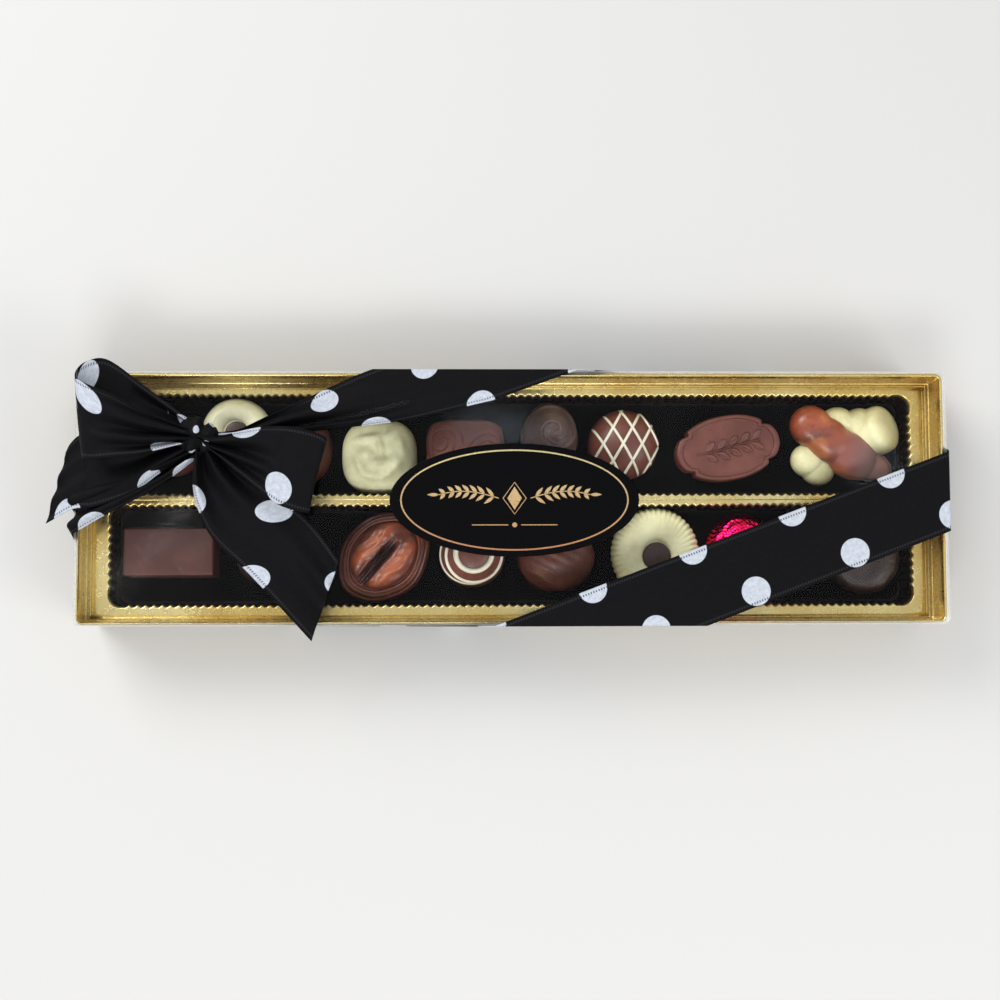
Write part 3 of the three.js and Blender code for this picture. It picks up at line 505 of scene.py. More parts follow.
def disc_flutes(radius, angle, height):
    """Rounded flutes: deep at the rim, shallow radial grooves on the crown, none at the foot or the well."""
    wave = np.abs(np.cos(FLUTES * angle / 2)) - 0.64
    rim = np.clip((radius - 6.2) / 8.5, 0, 1) * np.clip(height / 2.5, 0, 1)
    return 0.55 * wave * rim**2, 0.1 * wave * rim * (height > 9.0)


wide_profile = [(RING_GROWTH * radius, height) for radius, height in RING_PROFILE]
ring_rings = turned("white_ring", wide_profile) + RING_SHIFT
# The white ring wears the lighter copy of white chocolate: painted light against the shade over it.
stands_for(round_mesh("white_ring_shell", ring_rings, WHITE_PAINTED_LIGHT), "white_chocolate", "white_ring")
fluted = turned("fluted_disc", DISC_PROFILE, steps=480, count=70, ripple=disc_flutes)
disc_x, disc_y, _, _ = middle_of("fluted_disc")
nearness = np.clip(1 - ((fluted[..., 0] - disc_x) ** 2 + (fluted[..., 1] - disc_y) ** 2) / 13**2, 0, 1)
fluted[..., 1] = disc_y + DISC_STRETCH * (fluted[..., 1] - disc_y) - WELL_SHIFT * nearness
stands_for(round_mesh("fluted_disc_shell", fluted, IVORY), "white_chocolate", "fluted_disc")


def well_button(node, radius, back=0.0):
    """A low dark button with a soft edge and a small peak where the piping was lifted off."""
    profile = [(radius * 0.7, 0), (radius * 0.96, 0.05), (radius, 0.5), (radius * 0.9, 1.0)]
    profile += [(radius * 0.55, 1.3), (radius * 0.2, 1.4), (0.15, 1.55)]
    return turned(node, profile, steps=64, count=40) - [0.0, back, 0.0]


for node, *size in (("white_ring_centre", 4.2), ("fluted_disc_centre", 5.0, WELL_SHIFT)):
    stands_for(round_mesh(node + "_button", well_button(node, *size), COCOA), "dark_chocolate", node)
print("turned pieces: 2 with", FLUTES, "flutes on the disc")

# %% [markdown]
# ## Moulded pieces with a relief
# Four pieces come out of moulds that leave a relief on the crown: worn swellings on the cream piece, scrolls
# on the barrel, a curl on the dark horn and a leaf sprig on the plaque. Each relief is a formula for the
# height over the crown, so it has real edges that catch the light. The plaque has its own outline, an oval
# with a notch at each shoulder, and a raised border round a low field.

# %% Relief formulas
def swellings(x, y, rows):
    """A sum of soft oval swellings. A row is (x, y of the middle, half length, half width, angle, height)."""
    height = 0 * x
    for x0, y0, length, width, turn, rise in rows:
        c, s = np.cos(np.radians(turn)), np.sin(np.radians(turn))
        u, v = (x - x0) * c + (y - y0) * s, (y - y0) * c - (x - x0) * s
        height = height + rise * np.exp(-((u / length) ** 2) - (v / width) ** 2)
    return height


WORN_RELIEF = [
    (-3.8, 5.8, 4.6, 1.5, 10, 1.1), (0.6, 3.0, 3.0, 1.3, 105, 1.0), (-5.0, 0.6, 3.2, 2.0, 25, 0.7),
    (-6.6, -4.0, 3.0, 1.5, -58, 1.1), (-2.8, -7.4, 3.6, 1.6, -8, 1.1), (-0.8, -3.0, 2.8, 1.7, 14, 1.1),
    (6.4, -3.2, 2.8, 2.0, 60, 1.3), (7.8, 3.6, 3.8, 1.6, 108, 0.9), (4.0, 7.4, 2.6, 1.3, 70, 0.6),
    (2.8, -0.2, 1.8, 1.6, 0, -0.8), (3.4, -6.6, 2.6, 1.5, 38, 0.9), (-1.8, 1.6, 1.6, 1.3, 0, -0.6),
]


def folds(x, y, reach, angle):
    """The worn relief over a low hollow."""
    return 1.35 * swellings(x, y, WORN_RELIEF) - 0.8 * np.clip(1.1 - reach, 0, 1)


def scrolls(x, y, reach, angle):
    """Cut lines: two sets of arcs, one about each end of the barrel, and a line round the border."""
    cut = 0 * reach
    for side in (-1, 1):
        radius = np.hypot(x - side * 8.5, y + side * 1.5)
        winding = np.arctan2(y + side * 1.5, x - side * 8.5) / (2 * np.pi)
        cut = cut + ridge((radius / 2.6 - winding * side + 0.5) % 1.0 - 0.5, 0.09) * (radius < 8.6)
    border = ridge(np.abs(reach - 0.86), 0.025)
    return -0.5 * np.clip(cut + border, 0, 1)


def curl(x, y, reach, angle):
    """A horn that curls over itself: a sawtooth that winds in to a point off the middle."""
    far = np.hypot(x - 1.5, y - 2.0) / 12
    winding = (np.arctan2(y - 2.0, x - 1.5) / (2 * np.pi) - 1.9 * far + 0.1) % 1.0
    step = winding**1.6 * (1 - np.clip((winding - 0.9) / 0.1, 0, 1))
    fine = ridge((winding * 4) % 1.0 - 0.5, 0.14) * 0.14
    return (2.0 * step + fine) * np.clip(1.2 - reach, 0, 1) * np.clip(far * 6, 0, 1)


MOULDED = [
    ("cream_relief", CREAM, "white_chocolate", 27.0, 27.0, 13.6, 3.0, squared(2.6), folds, 240, (-1.2, -0.8)),
    # The barrel wears the lighter copy of milk chocolate as a painted highlight.
    ("milk_barrel", MILK_PAINTED_HIGHLIGHT, "milk_chocolate", 28.0, 20.6, 15, 3.4, squared(4), scrolls, 240, (-0.7, 0.2)),
    ("dark_horn", ASH, "dark_chocolate", 20.4, 26.0, 15.8, 2.2, None, curl, 200, (0.0, 1.0)),
]
for node, material, slot, *shape in MOULDED:
    stands_for(round_mesh(node + "_shell", dome(node, *shape), material), slot, node)

# %% Plaque
PLAQUE = {"length": 38.6, "width": 23.6, "height": 10.0, "border": 0.8, "turn": np.radians(10)}


def plaque_outline(angle):
    """An oval with rounded ends that step out past a notch at each of its four shoulders."""
    across = np.abs(np.cos(angle))
    notch = 0.085 * ridge(across - 0.79, 0.05)
    belly = 0.02 * ridge(across - 0.35, 0.4)
    return 0.985 - notch + belly


def leaf_sprig(x, y):
    """A stem with pairs of leaves: each leaf is a lens shape with a midrib, and the stem is a soft line."""
    stem = 0.8 * ridge(y - 0.8 * np.sin(x / 6), 0.35) * (np.abs(x) < 12)
    height = stem
    for place in (-8.5, -4.2, 0.1, 4.4, 8.7):
        for side in (-1, 1):
            lean = np.radians(38) * side
            u = (x - place) * np.cos(lean) + (y - side * 0.5 - 0.8 * np.sin(place / 6)) * np.sin(lean)
            v = -(x - place) * np.sin(lean) + (y - side * 0.5 - 0.8 * np.sin(place / 6)) * np.cos(lean)
            along = np.clip(u / 5.2, 0, 1)
            half = 1.35 * np.sin(np.pi * along) ** 0.8
            inside = np.clip((half - np.abs(v)) / 0.35, 0, 1) * (u > 0) * (u < 5.2)
            height = np.maximum(height, inside * (0.85 - 0.35 * ridge(v, 0.22)))
    return height


def plaque_rings():
    """Rings from the foot over the raised border and down to the field, which carries the sprig."""
    height, border = PLAQUE["height"], PLAQUE["border"]
    edge = [(0.93, 0), (0.965, 0.1), (0.985, 1.2), (1.0, height * 0.5), (0.985, height - 0.9)]
    edge += [(0.965, height - 0.25), (0.94, height), (0.9, height), (0.875, height - 0.3)]
    edge += [(0.86, height - border)]
    side = smooth_profile(edge, 46)
    field = np.column_stack([np.linspace(0.855, 0.01, 70), np.full(70, height - border)])
    rows = np.concatenate([side, field])
    angle = np.linspace(0, 2 * np.pi, 288, endpoint=False)[None]
    share = np.clip((rows[:, :1] - 0.3) / 0.6, 0, 1)
    swell = 1 + share * (plaque_outline(angle) - 1)
    x = rows[:, :1] * swell * np.cos(angle) * PLAQUE["length"] / 2
    y = rows[:, :1] * swell * np.sin(angle) * PLAQUE["width"] / 2
    on_field = (np.arange(len(rows)) >= len(side))[:, None]
    stipple = 0.03 * np.sin(9 * x) * np.sin(9 * y) * (rows[:, :1] < 0.8)
    z = rows[:, 1:] + on_field * (leaf_sprig(x, y) + stipple)
    return placed("oval_plaque", x, y, z, PLAQUE["turn"])


plaque = round_mesh("oval_plaque_shell", plaque_rings(), MILK)
stands_for(plaque, "milk_chocolate", "oval_plaque")
print("plaque:", len(plaque.data.polygons), "faces")

# %% [markdown]
# ## Bars and buttons
# The bar and the square are slabs with soft edges and sides that lean in. A rounded rectangle is carried up a
# profile of inset and height. The button is a flat dark piece with a slightly rough edge, and the heart is a
# low dome with round shoulders.

# %% Slabs
def rounded_rectangle(length, width, radius, per_corner=10, per_side=1):
    """Points and normals round a rectangle with round corners, counter-clockwise from the right side."""
    points, normals = [], []
    half = np.array([length / 2 - radius, width / 2 - radius])
    signs = np.array([[1, 1], [-1, 1], [-1, -1], [1, -1]])
    for quarter, sign in enumerate(signs):
        turn = np.linspace(0, np.pi / 2, per_corner) + quarter * np.pi / 2
        way = np.column_stack([np.cos(turn), np.sin(turn)])
        points.append(sign * half + radius * way)
        normals.append(way)
        after = signs[(quarter + 1) % 4] * half + radius * way[-1:]
        share = np.linspace(0, 1, per_side + 2)[1:-1, None]
        points.append(points[-1][-1:] * (1 - share) + after * share)
        normals.append(np.repeat(way[-1:], per_side, axis=0))
    return np.concatenate(points), np.concatenate(normals)


def slab_rings(node, length, width, radius, rows, moved=(0.0, 0.0)):
    """A rounded rectangle carried up rows of (inset, height), shrunk where the inset passes the radius."""
    outline, normal = rounded_rectangle(length, width, radius, 12, 24)
    inset = rows[:, None, :1]
    shrink = np.maximum(1 - (inset - radius) / (width / 2), 0.02)
    core = (outline - normal * radius)[None] * shrink
    plan = np.where(inset > radius, core, outline[None] - normal[None] * inset)
    return placed(node, plan[..., 0], plan[..., 1], rows[:, 1:], moved=moved)


def soft_slab_rows(height, edge, lean, crown=0.25):
    """Rows for a slab: foot, leaning side, quarter-round edge, then a top that crowns a little."""
    turn = np.linspace(0, np.pi / 2, 10)
    foot = [(0.35, 0.0), (0.08, 0.1), (0.0, 0.5)]
    side = [(lean * 0.5, height * 0.5)]
    edge_rows = np.column_stack([lean + edge * (1 - np.cos(turn)), height - edge + edge * np.sin(turn)])
    inner = np.linspace(lean + edge + 0.3, lean + edge + 7.5, 14)
    top = np.column_stack([inner, height + crown * np.linspace(0, 1, 14) ** 0.6])
    return np.concatenate([foot, side, edge_rows, top])


bar = slab_rings("milk_bar", 33.2, 18.2, 1.4, soft_slab_rows(10.8, 0.9, 0.7), moved=(-0.8, 0.5))
stands_for(round_mesh("milk_bar_shell", bar, DEEP_MILK_AND_PAINTED_SHADE), "milk_chocolate", "milk_bar")
square = slab_rings("milk_square", 17, 17, 1.6, soft_slab_rows(11.8, 1.0, 0.6))
stands_for(round_mesh("milk_square_shell", square, MILK), "milk_chocolate", "milk_square")


def rough_edge(angle):
    """An outline that wanders by a few hundredths, as a hand-dipped edge does."""
    return 1 + 0.012 * np.sin(5 * angle + 1) + 0.008 * np.sin(11 * angle) + 0.005 * np.sin(23 * angle + 2)


def button_dents(x, y, reach, angle):
    """Two shallow rings and a low middle."""
    return 0.12 * ridge(reach - 0.82, 0.06) - 0.2 * ridge(reach, 0.5) + 0.06 * np.sin(3 * angle + 9 * reach)


button = dome("dark_button", 25.8, 25.0, 10.7, 3.6, rough_edge, button_dents, moved=(0.2, -0.7))
stands_for(round_mesh("dark_button_shell", button, DARK), "dark_chocolate", "dark_button")


def heart_outline(angle):
    """Round shoulders at the back and a blunt point at the front."""
    return 1 - 0.04 * np.clip(np.sin(-angle), 0, 1) ** 3 - 0.08 * np.clip(np.sin(angle), 0, 1) ** 8


def heart_grain(x, y, reach, angle):
    """Low ripples where the coating ran down and set."""
    return 0.22 * np.sin(3 * angle + 7 * reach) * reach + 0.1 * np.sin(0.9 * x + 1.7 * y)


heart = dome("milk_heart", 27.6, 25.0, 13.3, 2.3, outline=heart_outline, relief=heart_grain)
stands_for(round_mesh("milk_heart_shell", heart, MILK), "milk_chocolate", "milk_heart")
print("slabs and buttons done")

# %% [markdown]
# ## Dome with piped rings
# White rings lie round this dome: a thick one near the crown and two thinner ones lower down, each a little
# off centre as piped rings are. They are beads again, closed on themselves.

# %% Ringed dome
RINGED_SIZE, RINGED_HEIGHT = 23.6, 15.0


def ring_bead(node, radius, centre, thickness):
    """A closed bead round the dome at one radius, lifted to the dome's own height."""
    x0, y0, low, _ = middle_of(node)
    angle = np.linspace(0, 2 * np.pi, 120, endpoint=False)
    wobble = radius * (1 + 0.015 * np.sin(2 * angle + 1))
    plan = np.column_stack([wobble * np.cos(angle), wobble * np.sin(angle)]) + centre
    z = dome_height(plan[:, 0], plan[:, 1], RINGED_SIZE, RINGED_HEIGHT) + thickness * 0.25
    return bead(np.column_stack([plan + [x0, y0], z + low]), thickness, closed=True)


PIPED_RINGS = [(6.3, (0.5, 0.2), 0.95), (9.7, (0.6, -0.3), 0.6), (10.7, (-0.5, 0.1), 0.42)]
ringed = dome("ringed_dome", RINGED_SIZE, RINGED_SIZE, RINGED_HEIGHT, DOME_POWER)
stands_for(round_mesh("ringed_dome_shell", ringed, MILK), "milk_chocolate", "ringed_dome")
beads = [ring_bead("ringed_dome", *row) for row in PIPED_RINGS]
stands_for(joined_mesh("ringed_dome_lines", beads, PIPING), "white_chocolate")
print("ringed dome:", len(beads), "rings")

# %% [markdown]
# ## Walnut piece
# A walnut half set in milk chocolate: the chocolate steps up to a rim in low terraces, and the kernel inside
# has two lobes with a double cleft between them. Each point also gets a `painted_light`, a number that the
# material reads: it paints a caramel highlight on the lobes and on the rim's crest, and shade in the cleft.
# So the painted light follows the shape.

# %% Walnut
WALNUT_LENGTH, WALNUT_WIDTH, WALNUT_TURN = 36.2, 28.8, np.radians(46)
KERNEL = 0.72
WALNUT_SIDE = [
    (0.92, 0), (0.965, 0.1), (0.99, 1.0), (1.0, 4.0), (0.985, 6.4), (0.95, 7.7), (0.905, 8.1), (0.885, 9.2),
    (0.845, 9.8), (0.81, 9.7), (0.795, 10.6), (0.77, 10.9), (0.745, 10.4), (0.73, 9.6),
]


def kernel_height(u, v):
    """Two lobes along u, with a deep cleft that a thin ridge parts in two, and fine wrinkles."""
    along, across = u / (KERNEL * WALNUT_LENGTH / 2), v / (KERNEL * WALNUT_WIDTH / 2)
    crown = np.clip(1 - along**2 - across**2, 0, 1) ** 0.42
    opening = np.clip(1.12 - (along + 0.28) ** 2 * 1.6, 0, 1) ** 0.6
    cleft = 2.6 * ridge(np.abs(v - 0.05 * u) - 1.0, 0.75) + 1.1 * ridge(v - 0.05 * u, 2.2)
    wrinkle = 0.22 * np.sin(1.7 * v + 1.4 * np.sin(0.45 * u + 1))
    wrinkle = wrinkle + 0.1 * np.sin(1.3 * u + 1.9 * v) * np.sin(0.4 * u)
    return 5.2 * crown + (wrinkle - cleft * opening) * np.clip(crown * 2.2, 0, 1)


def walnut_piece():
    """Rings of the whole piece, and each point's painted light: highlight on lobes and rim, shade in the
    cleft.
    """
    side = smooth_profile(WALNUT_SIDE, 60)
    kernel = np.column_stack([np.linspace(KERNEL, 0.004, 74), np.full(74, 9.6)])
    rows = np.concatenate([side, kernel])
    angle = np.linspace(0, 2 * np.pi, 200, endpoint=False)[None]
    lens = 1 + 0.035 * np.cos(2 * angle) ** 2 - 0.02 * np.cos(angle - 0.5)
    lens = lens + (0.012 * np.sin(3 * angle + 1) + 0.01 * np.sin(7 * angle)) * rows[:, :1]
    u = rows[:, :1] * lens * np.cos(angle) * WALNUT_LENGTH / 2
    v = rows[:, :1] * lens * np.sin(angle) * WALNUT_WIDTH / 2
    on_kernel = (np.arange(len(rows)) >= len(side))[:, None]
    z = rows[:, 1:] + on_kernel * kernel_height(u, v) + 0.12 * np.sin(5 * angle) * np.sin(9 * rows[:, :1])
    across = np.abs(v) / (KERNEL * WALNUT_WIDTH / 2)
    # Painted light: lobes lightens the kernel's lobes and rim lightens the rim's crest, as painted
    # highlights; cleft darkens the cleft as painted shade.
    lobes = ridge(across - 0.5, 0.26) * np.clip(1 - (u / 13.0) ** 2, 0, 1)
    rim = 0.2 * ridge(rows[:, :1] - 0.78, 0.03)
    cleft = 1.2 * ridge(np.abs(v - 0.05 * u) - 0.8, 1.0) * np.clip(1 - ((u + 3.5) / 9.5) ** 2, 0, 1)
    painted_light = np.clip(0.3 + 0.75 * on_kernel * lobes + rim - on_kernel * cleft, 0, 1)
    return placed("walnut_praline", u, v, z, WALNUT_TURN), painted_light


def set_painted_light(piece, values):
    """Stores one number for each point, for the material to read."""
    layer = piece.data.attributes.new("painted_light", "FLOAT", "POINT")
    layer.data.foreach_set("value", np.asarray(values, np.float32))


def painted_light_chocolate(name, colours):
    """Chocolate whose colour runs through three stops, painted shade to painted highlight, with the piece's
    painted light, streaked by stretched noise.
    """
    material, tree, shader = new_material(name)
    painted_light = add(tree, "ShaderNodeAttribute", attribute_name="painted_light").outputs["Fac"]
    place = add(tree, "ShaderNodeTexCoord").outputs["Object"]
    streak = rescale(tree, noise(tree, place, 420.0, 4.0, 0.65), 0.3, 0.7, -0.14, 0.14)
    share = maths(tree, "ADD", painted_light, streak)
    low = blend_colours(tree, rescale(tree, share, 0.0, 0.4), colours[0], colours[1])
    full = blend_colours(tree, rescale(tree, share, 0.4, 0.95), low, colours[2])
    wear_skin(tree, shader, full, colours[2], 0.12, 0.33, 0.4)
    return material


# Three stops: the painted shade of the cleft, the milk chocolate, and the caramel of the painted highlight.
WALNUT_SHADE_TO_HIGHLIGHT = (rgb(37, 18, 14), rgb(88, 42, 31), rgb(154, 78, 43))
WALNUT_MIX = painted_light_chocolate("walnut and milk chocolate", WALNUT_SHADE_TO_HIGHLIGHT)
rings, painted_light = walnut_piece()
walnut = round_mesh("walnut_praline_shell", rings, WALNUT_MIX)
set_painted_light(walnut, np.concatenate([painted_light.ravel(), painted_light[0, :1], painted_light[-1, :1]]))
stands_for(walnut, "walnut_chocolate", "walnut_praline")
print("walnut:", len(walnut.data.vertices), "points, tone", painted_light.min().round(2), "to", painted_light.max().round(2))

# %% [markdown]
# ## Foil sweet
# One round sweet is wrapped in crimson foil. Foil doesn't stretch, so on a dome it gathers: rings of flat
# creases round the crown and many small pleats at the foot. Fine crumples are a bump in the material.

# %% Foil
def foil_folds(x, y, reach, angle):
    """Creased rings that wander a little, broken up round the dome, and pleats that deepen to the foot."""
    ring = np.abs(np.sin(np.pi * (reach * 6.2 + 0.12 * np.sin(5 * angle + 1) + 0.07 * np.sin(13 * angle))))
    broken = 0.6 + 0.4 * np.sin(7 * angle + 9 * reach)
    crumple = np.abs(np.sin(19 * angle + 6 * np.sin(4 * reach))) * np.clip(reach * 1.4, 0, 1)
    pleat = np.abs(np.cos(26 * angle + 2 * np.sin(3 * angle))) * np.clip((reach - 0.8) / 0.2, 0, 1)
    return 0.34 * (1 - ring) * broken + 0.14 * crumple + 0.4 * pleat - 0.2


def foil_material(name, colour):
    """Coloured foil, crumpled by small facets over soft noise."""
    material, tree, shader = new_material(name)
    place = add(tree, "ShaderNodeTexCoord").outputs["Object"]
    facets = add(tree, "ShaderNodeTexVoronoi", {"Vector": place, "Scale": 620.0}).outputs["Distance"]
    height = maths(tree, "ADD", facets, noise(tree, place, 480.0, 3.0, 0.6))
    normal = bump(tree, height, 0.6, 0.0005)
    fill(tree, shader, {"Base Color": colour, "Metallic": 1.0, "Roughness": 0.2, "Normal": normal})
    return material


CRIMSON = foil_material("crimson foil", rgb(255, 24, 100))
ball = dome("foil_ball", 25.2, 25.0, 15.4, 2.1, relief=foil_folds, steps=320, moved=(0.7, 0.7))
stands_for(round_mesh("foil_ball_shell", ball, CRIMSON), "red_foil", "foil_ball")
print("foil sweet done")

# %% [markdown]
# ## Marbled piece
# Lobes of white chocolate lie side by side with a caramel one laid over them. Each lobe starts as an
# ellipsoid. A voxel remesh melts the lobes of each colour into one skin, a few rounds of smoothing soften the
# joins, and the result is kept as a plain mesh.

# %% Melted lobes
def lobe(centre, size, turn=0.0, tilt=0.0, power=2.3, steps=48):
    """Points and faces of a superellipsoid: centre and size in millimetres, turned in plan and tilted."""
    lift = np.linspace(-np.pi / 2, np.pi / 2, 34)[1:-1, None]
    angle = np.linspace(0, 2 * np.pi, steps, endpoint=False)[None]
    curve = 2 / power
    reach = np.cos(lift) ** curve
    height = np.sign(np.sin(lift)) * np.abs(np.sin(lift)) ** curve + 0 * angle
    body = np.stack([reach * np.cos(angle), reach * np.sin(angle), height], -1) * np.asarray(size) / 2
    x, y, z = np.moveaxis(body, -1, 0)
    x, z = np.cos(tilt) * x + np.sin(tilt) * z, np.cos(tilt) * z - np.sin(tilt) * x
    x, y = np.cos(turn) * x - np.sin(turn) * y, np.sin(turn) * x + np.cos(turn) * y
    return round_body(np.stack([x, y, z], -1) + np.asarray(centre))


def melted(name, bodies, material, rounds, voxel=0.4):
    """Fuses bodies to one skin with a voxel remesh and smoothing, kept as a plain mesh."""
    rough = joined_mesh(name + "_rough", bodies, material)
    remesh = rough.modifiers.new("melt", "REMESH")
    remesh.mode, remesh.voxel_size, remesh.use_smooth_shade = "VOXEL", voxel * MM, True
    soften = rough.modifiers.new("soften", "SMOOTH")
    soften.factor, soften.iterations = 0.5, rounds
    done = bpy.data.meshes.new_from_object(rough.evaluated_get(bpy.context.evaluated_depsgraph_get()))
    done.name = name
    done.materials.clear()
    done.materials.append(material)
    done.polygons.foreach_set("use_smooth", np.ones(len(done.polygons), dtype=bool))
    bpy.data.objects.remove(rough)
    return in_scene(name, done)


def marble_material():
    """Orange brown that runs into a dark red brown and a dull pink in wide soft patches."""
    material, tree, shader = new_material("marbled caramel")
    place = add(tree, "ShaderNodeTexCoord").outputs["Object"]
    wide = rescale(tree, noise(tree, place, 75.0, 2.0, 0.4), 0.42, 0.58)
    other = rescale(tree, noise(tree, place, 110.0, 2.5, 0.5), 0.5, 0.62)
    grain = rescale(tree, noise(tree, place, 520.0, 4.0, 0.7), 0.3, 0.7, 0.0, 0.14)
    brown = blend_colours(tree, wide, rgb(134, 54, 26), rgb(80, 38, 28))
    mixed = blend_colours(tree, maths(tree, "MULTIPLY", other, 0.8), brown, rgb(164, 92, 46))
    along = add(tree, "ShaderNodeSeparateXYZ", {"Vector": place}).outputs["X"]
    start = float(LID_MIDDLE[0]) + 0.117
    pink = rescale(tree, along, start, start + 0.007, 0.0, 0.75)
    full = blend_colours(tree, pink, mixed, rgb(102, 64, 57))
    full = blend_colours(tree, grain, full, rgb(170, 116, 94))
    wear_skin(tree, shader, full, rgb(190, 140, 120), 0.08, 0.3, 0.35)
    return material


MARBLE_FOOT = middle_of("marbled_knot")[2]


def marble_lobe(x, y, z, length, width, height, turn=0.0, tilt=0.0, power=2.3):
    """A lobe placed from the middle of the marbled piece, with z from its foot."""
    return lobe((118.2 + x, 20.0 + y, MARBLE_FOOT + z), (length, width, height), turn, tilt, power)


white_lobes = [
    marble_lobe(12.4, 4.8, 6.4, 17.0, 17.6, 13.5, 0.35, 0.75, 5.0),
    marble_lobe(7.4, 7.6, 6.0, 12.0, 12.0, 12.6, 0.2, 0.0, 2.4),
    marble_lobe(-1.0, 8.4, 5.8, 13.0, 11.0, 11.4, 0.3, 0.0, 2.3),
    marble_lobe(-11.2, -5.4, 5.2, 12.6, 12.0, 10.6, -0.6, 0.0, 2.5),
    marble_lobe(-7.8, -8.4, 4.8, 12.6, 11.6, 9.8, -0.6, 0.0, 2.5),
    marble_lobe(2.0, 0.0, 4.2, 26.0, 17.0, 8.6, 0.2, 0.0, 2.3),
]
brown_lobes = [
    marble_lobe(-10.6, 6.6, 8.6, 15.8, 14.8, 12.8, -0.7),
    marble_lobe(-4.8, 1.8, 9.4, 19.5, 15.0, 12.4, -0.75),
    marble_lobe(3.4, -4.0, 8.4, 19.5, 16.4, 12.6, -0.6),
    marble_lobe(11.6, -7.8, 6.2, 14.5, 11.0, 10.4, -0.35),
]
white_skin = melted("marbled_knot_white", white_lobes, WHITE, rounds=3)
stands_for(white_skin, "white_chocolate", "marbled_knot")
brown_skin = melted("marbled_knot_brown", brown_lobes, marble_material(), rounds=5)
stands_for(brown_skin, "marbled_chocolate", "marbled_knot")
print("marbled piece: 2 skins")

# %% [markdown]
# ## Gold tray
# The tray is one formed sheet: a flat land, two channels with fluted walls and a lip that stands up along the
# lid's wall. Each channel is a grid. Its columns run round the channel's outline and its rows run from the
# land over the rolled edge, down the wall and out over the floor. A flute is a pointed cusp towards the
# channel with a round hollow on each side, which is what one minus the size of a sine gives. The corners have
# none.

# %% Tray channels
CHANNEL = {"length": 285.0, "width": 36.0, "corner": 4.5, "middle": 19.6, "floor": 3.0, "draft": 1.2}
LAND, FLUTE, FLUTE_PITCH, PER_FLUTE = 15.5, 0.85, 2.9, 6
LAND_REACH_X, LAND_REACH_Y = 147.7, 40.7
FOOT_SHIFT = (-0.7, -0.8)


def channel_outline():
    """Points, normals and flute depth, column by column, round a channel that is centred on the origin."""
    half_x, half_y, r = CHANNEL["length"] / 2, CHANNEL["width"] / 2, CHANNEL["corner"]
    flat_x, flat_y = CHANNEL["length"] - 2 * r, CHANNEL["width"] - 2 * r
    points, normals, depth = [], [], []
    for quarter in range(4):
        turn = quarter * np.pi / 2 + np.linspace(0, np.pi / 2, 13)
        middle = np.array([(half_x - r) * (1, -1, -1, 1)[quarter], (half_y - r) * (1, 1, -1, -1)[quarter]])
        way = np.column_stack([np.cos(turn), np.sin(turn)])
        points.append(middle + r * way)
        normals.append(way)
        depth.append(np.zeros(13))
        run = flat_x if quarter % 2 == 0 else flat_y
        count = round(run / FLUTE_PITCH)
        s = np.arange(1, count * PER_FLUTE) / PER_FLUTE
        ahead = np.array([-way[-1, 1], way[-1, 0]])
        points.append(points[-1][-1] + s[:, None] * (run / count) * ahead)
        normals.append(np.repeat(way[-1:], len(s), axis=0))
        end = np.clip(np.minimum(s, count - s) / 0.8, 0, 1)
        depth.append(FLUTE * (1 - np.abs(np.sin(np.pi * s))) * end)
    return np.concatenate(points), np.concatenate(normals), np.concatenate(depth)


def land_edge(points, normals, side):
    """Where each column starts on the land: straight out to the cell's border, spread round a corner."""
    reach = np.abs(normals)
    spread = reach / reach.max(axis=1, keepdims=True)
    core = np.array([CHANNEL["length"], CHANNEL["width"]]) / 2 - CHANNEL["corner"]
    away = np.where(np.abs(points) > core[None], 1, 0)
    ends = LAND_REACH_X + np.sign(points[:, 0]) * FOOT_SHIFT[0]
    outer = LAND_REACH_Y - CHANNEL["middle"] + side * FOOT_SHIFT[1]
    border = np.column_stack([ends, np.where(points[:, 1] * side >= 0, outer, CHANNEL["middle"])])
    step = np.sign(points) * (border - np.minimum(np.abs(points), core)) * spread
    straight = np.where(reach > 1e-6, step, 0.0)
    return np.where(away & (reach > 1e-6), np.sign(points) * core, points) + straight


def channel_rows():
    """Rows of (outward shift, height, share of the flute, share of the way to the floor's middle)."""
    floor, draft = CHANNEL["floor"], CHANNEL["draft"]
    turn = np.linspace(0, np.pi / 2, 6)
    rows = [(0.55 - 0.55 * np.sin(t), LAND - 0.55 * (1 - np.cos(t)), 1.0, 0.0) for t in turn]
    for share in (0.12, 0.3, 0.5, 0.7, 0.86):
        height = LAND - 0.55 - share * (LAND - floor - 2.0)
        rows.append((-draft * share, height, 1 - 0.8 * share, 0.0))
    rows += [(-draft - 0.5 * (1 - np.cos(t)), floor + 0.5 * (1 - np.sin(t)), 0.2, 0.0) for t in turn]
    rows += [(-draft - 0.5, floor, 0.2, s) for s in (0.15, 0.5, 0.995)]
    return rows


def tray_channel(side):
    """The grid of one channel; side is 1 for the back one and -1 for the front one."""
    points, normals, depth = channel_outline()
    start = land_edge(points, normals, side)
    middle = np.array([0.0, side * CHANNEL["middle"]])
    rows = [np.column_stack([start + middle, np.full(len(points), LAND)])]
    first = points + normals * 0.9
    for share in (0.35, 0.7, 1.0):
        plan = start * (1 - share) + first * share - normals * (depth * share**2)[:, None]
        rows.append(np.column_stack([plan + middle, np.full(len(points), LAND)]))
    spine = np.column_stack([np.clip(points[:, 0], -124, 124), 0 * points[:, 1]])
    for shift, height, fluted_share, inward in channel_rows():
        plan = points + normals * shift - normals * (depth * fluted_share)[:, None]
        plan = plan * (1 - inward) + spine * inward
        rows.append(np.column_stack([plan + middle, np.full(len(points), height)]))
    return np.stack(rows)


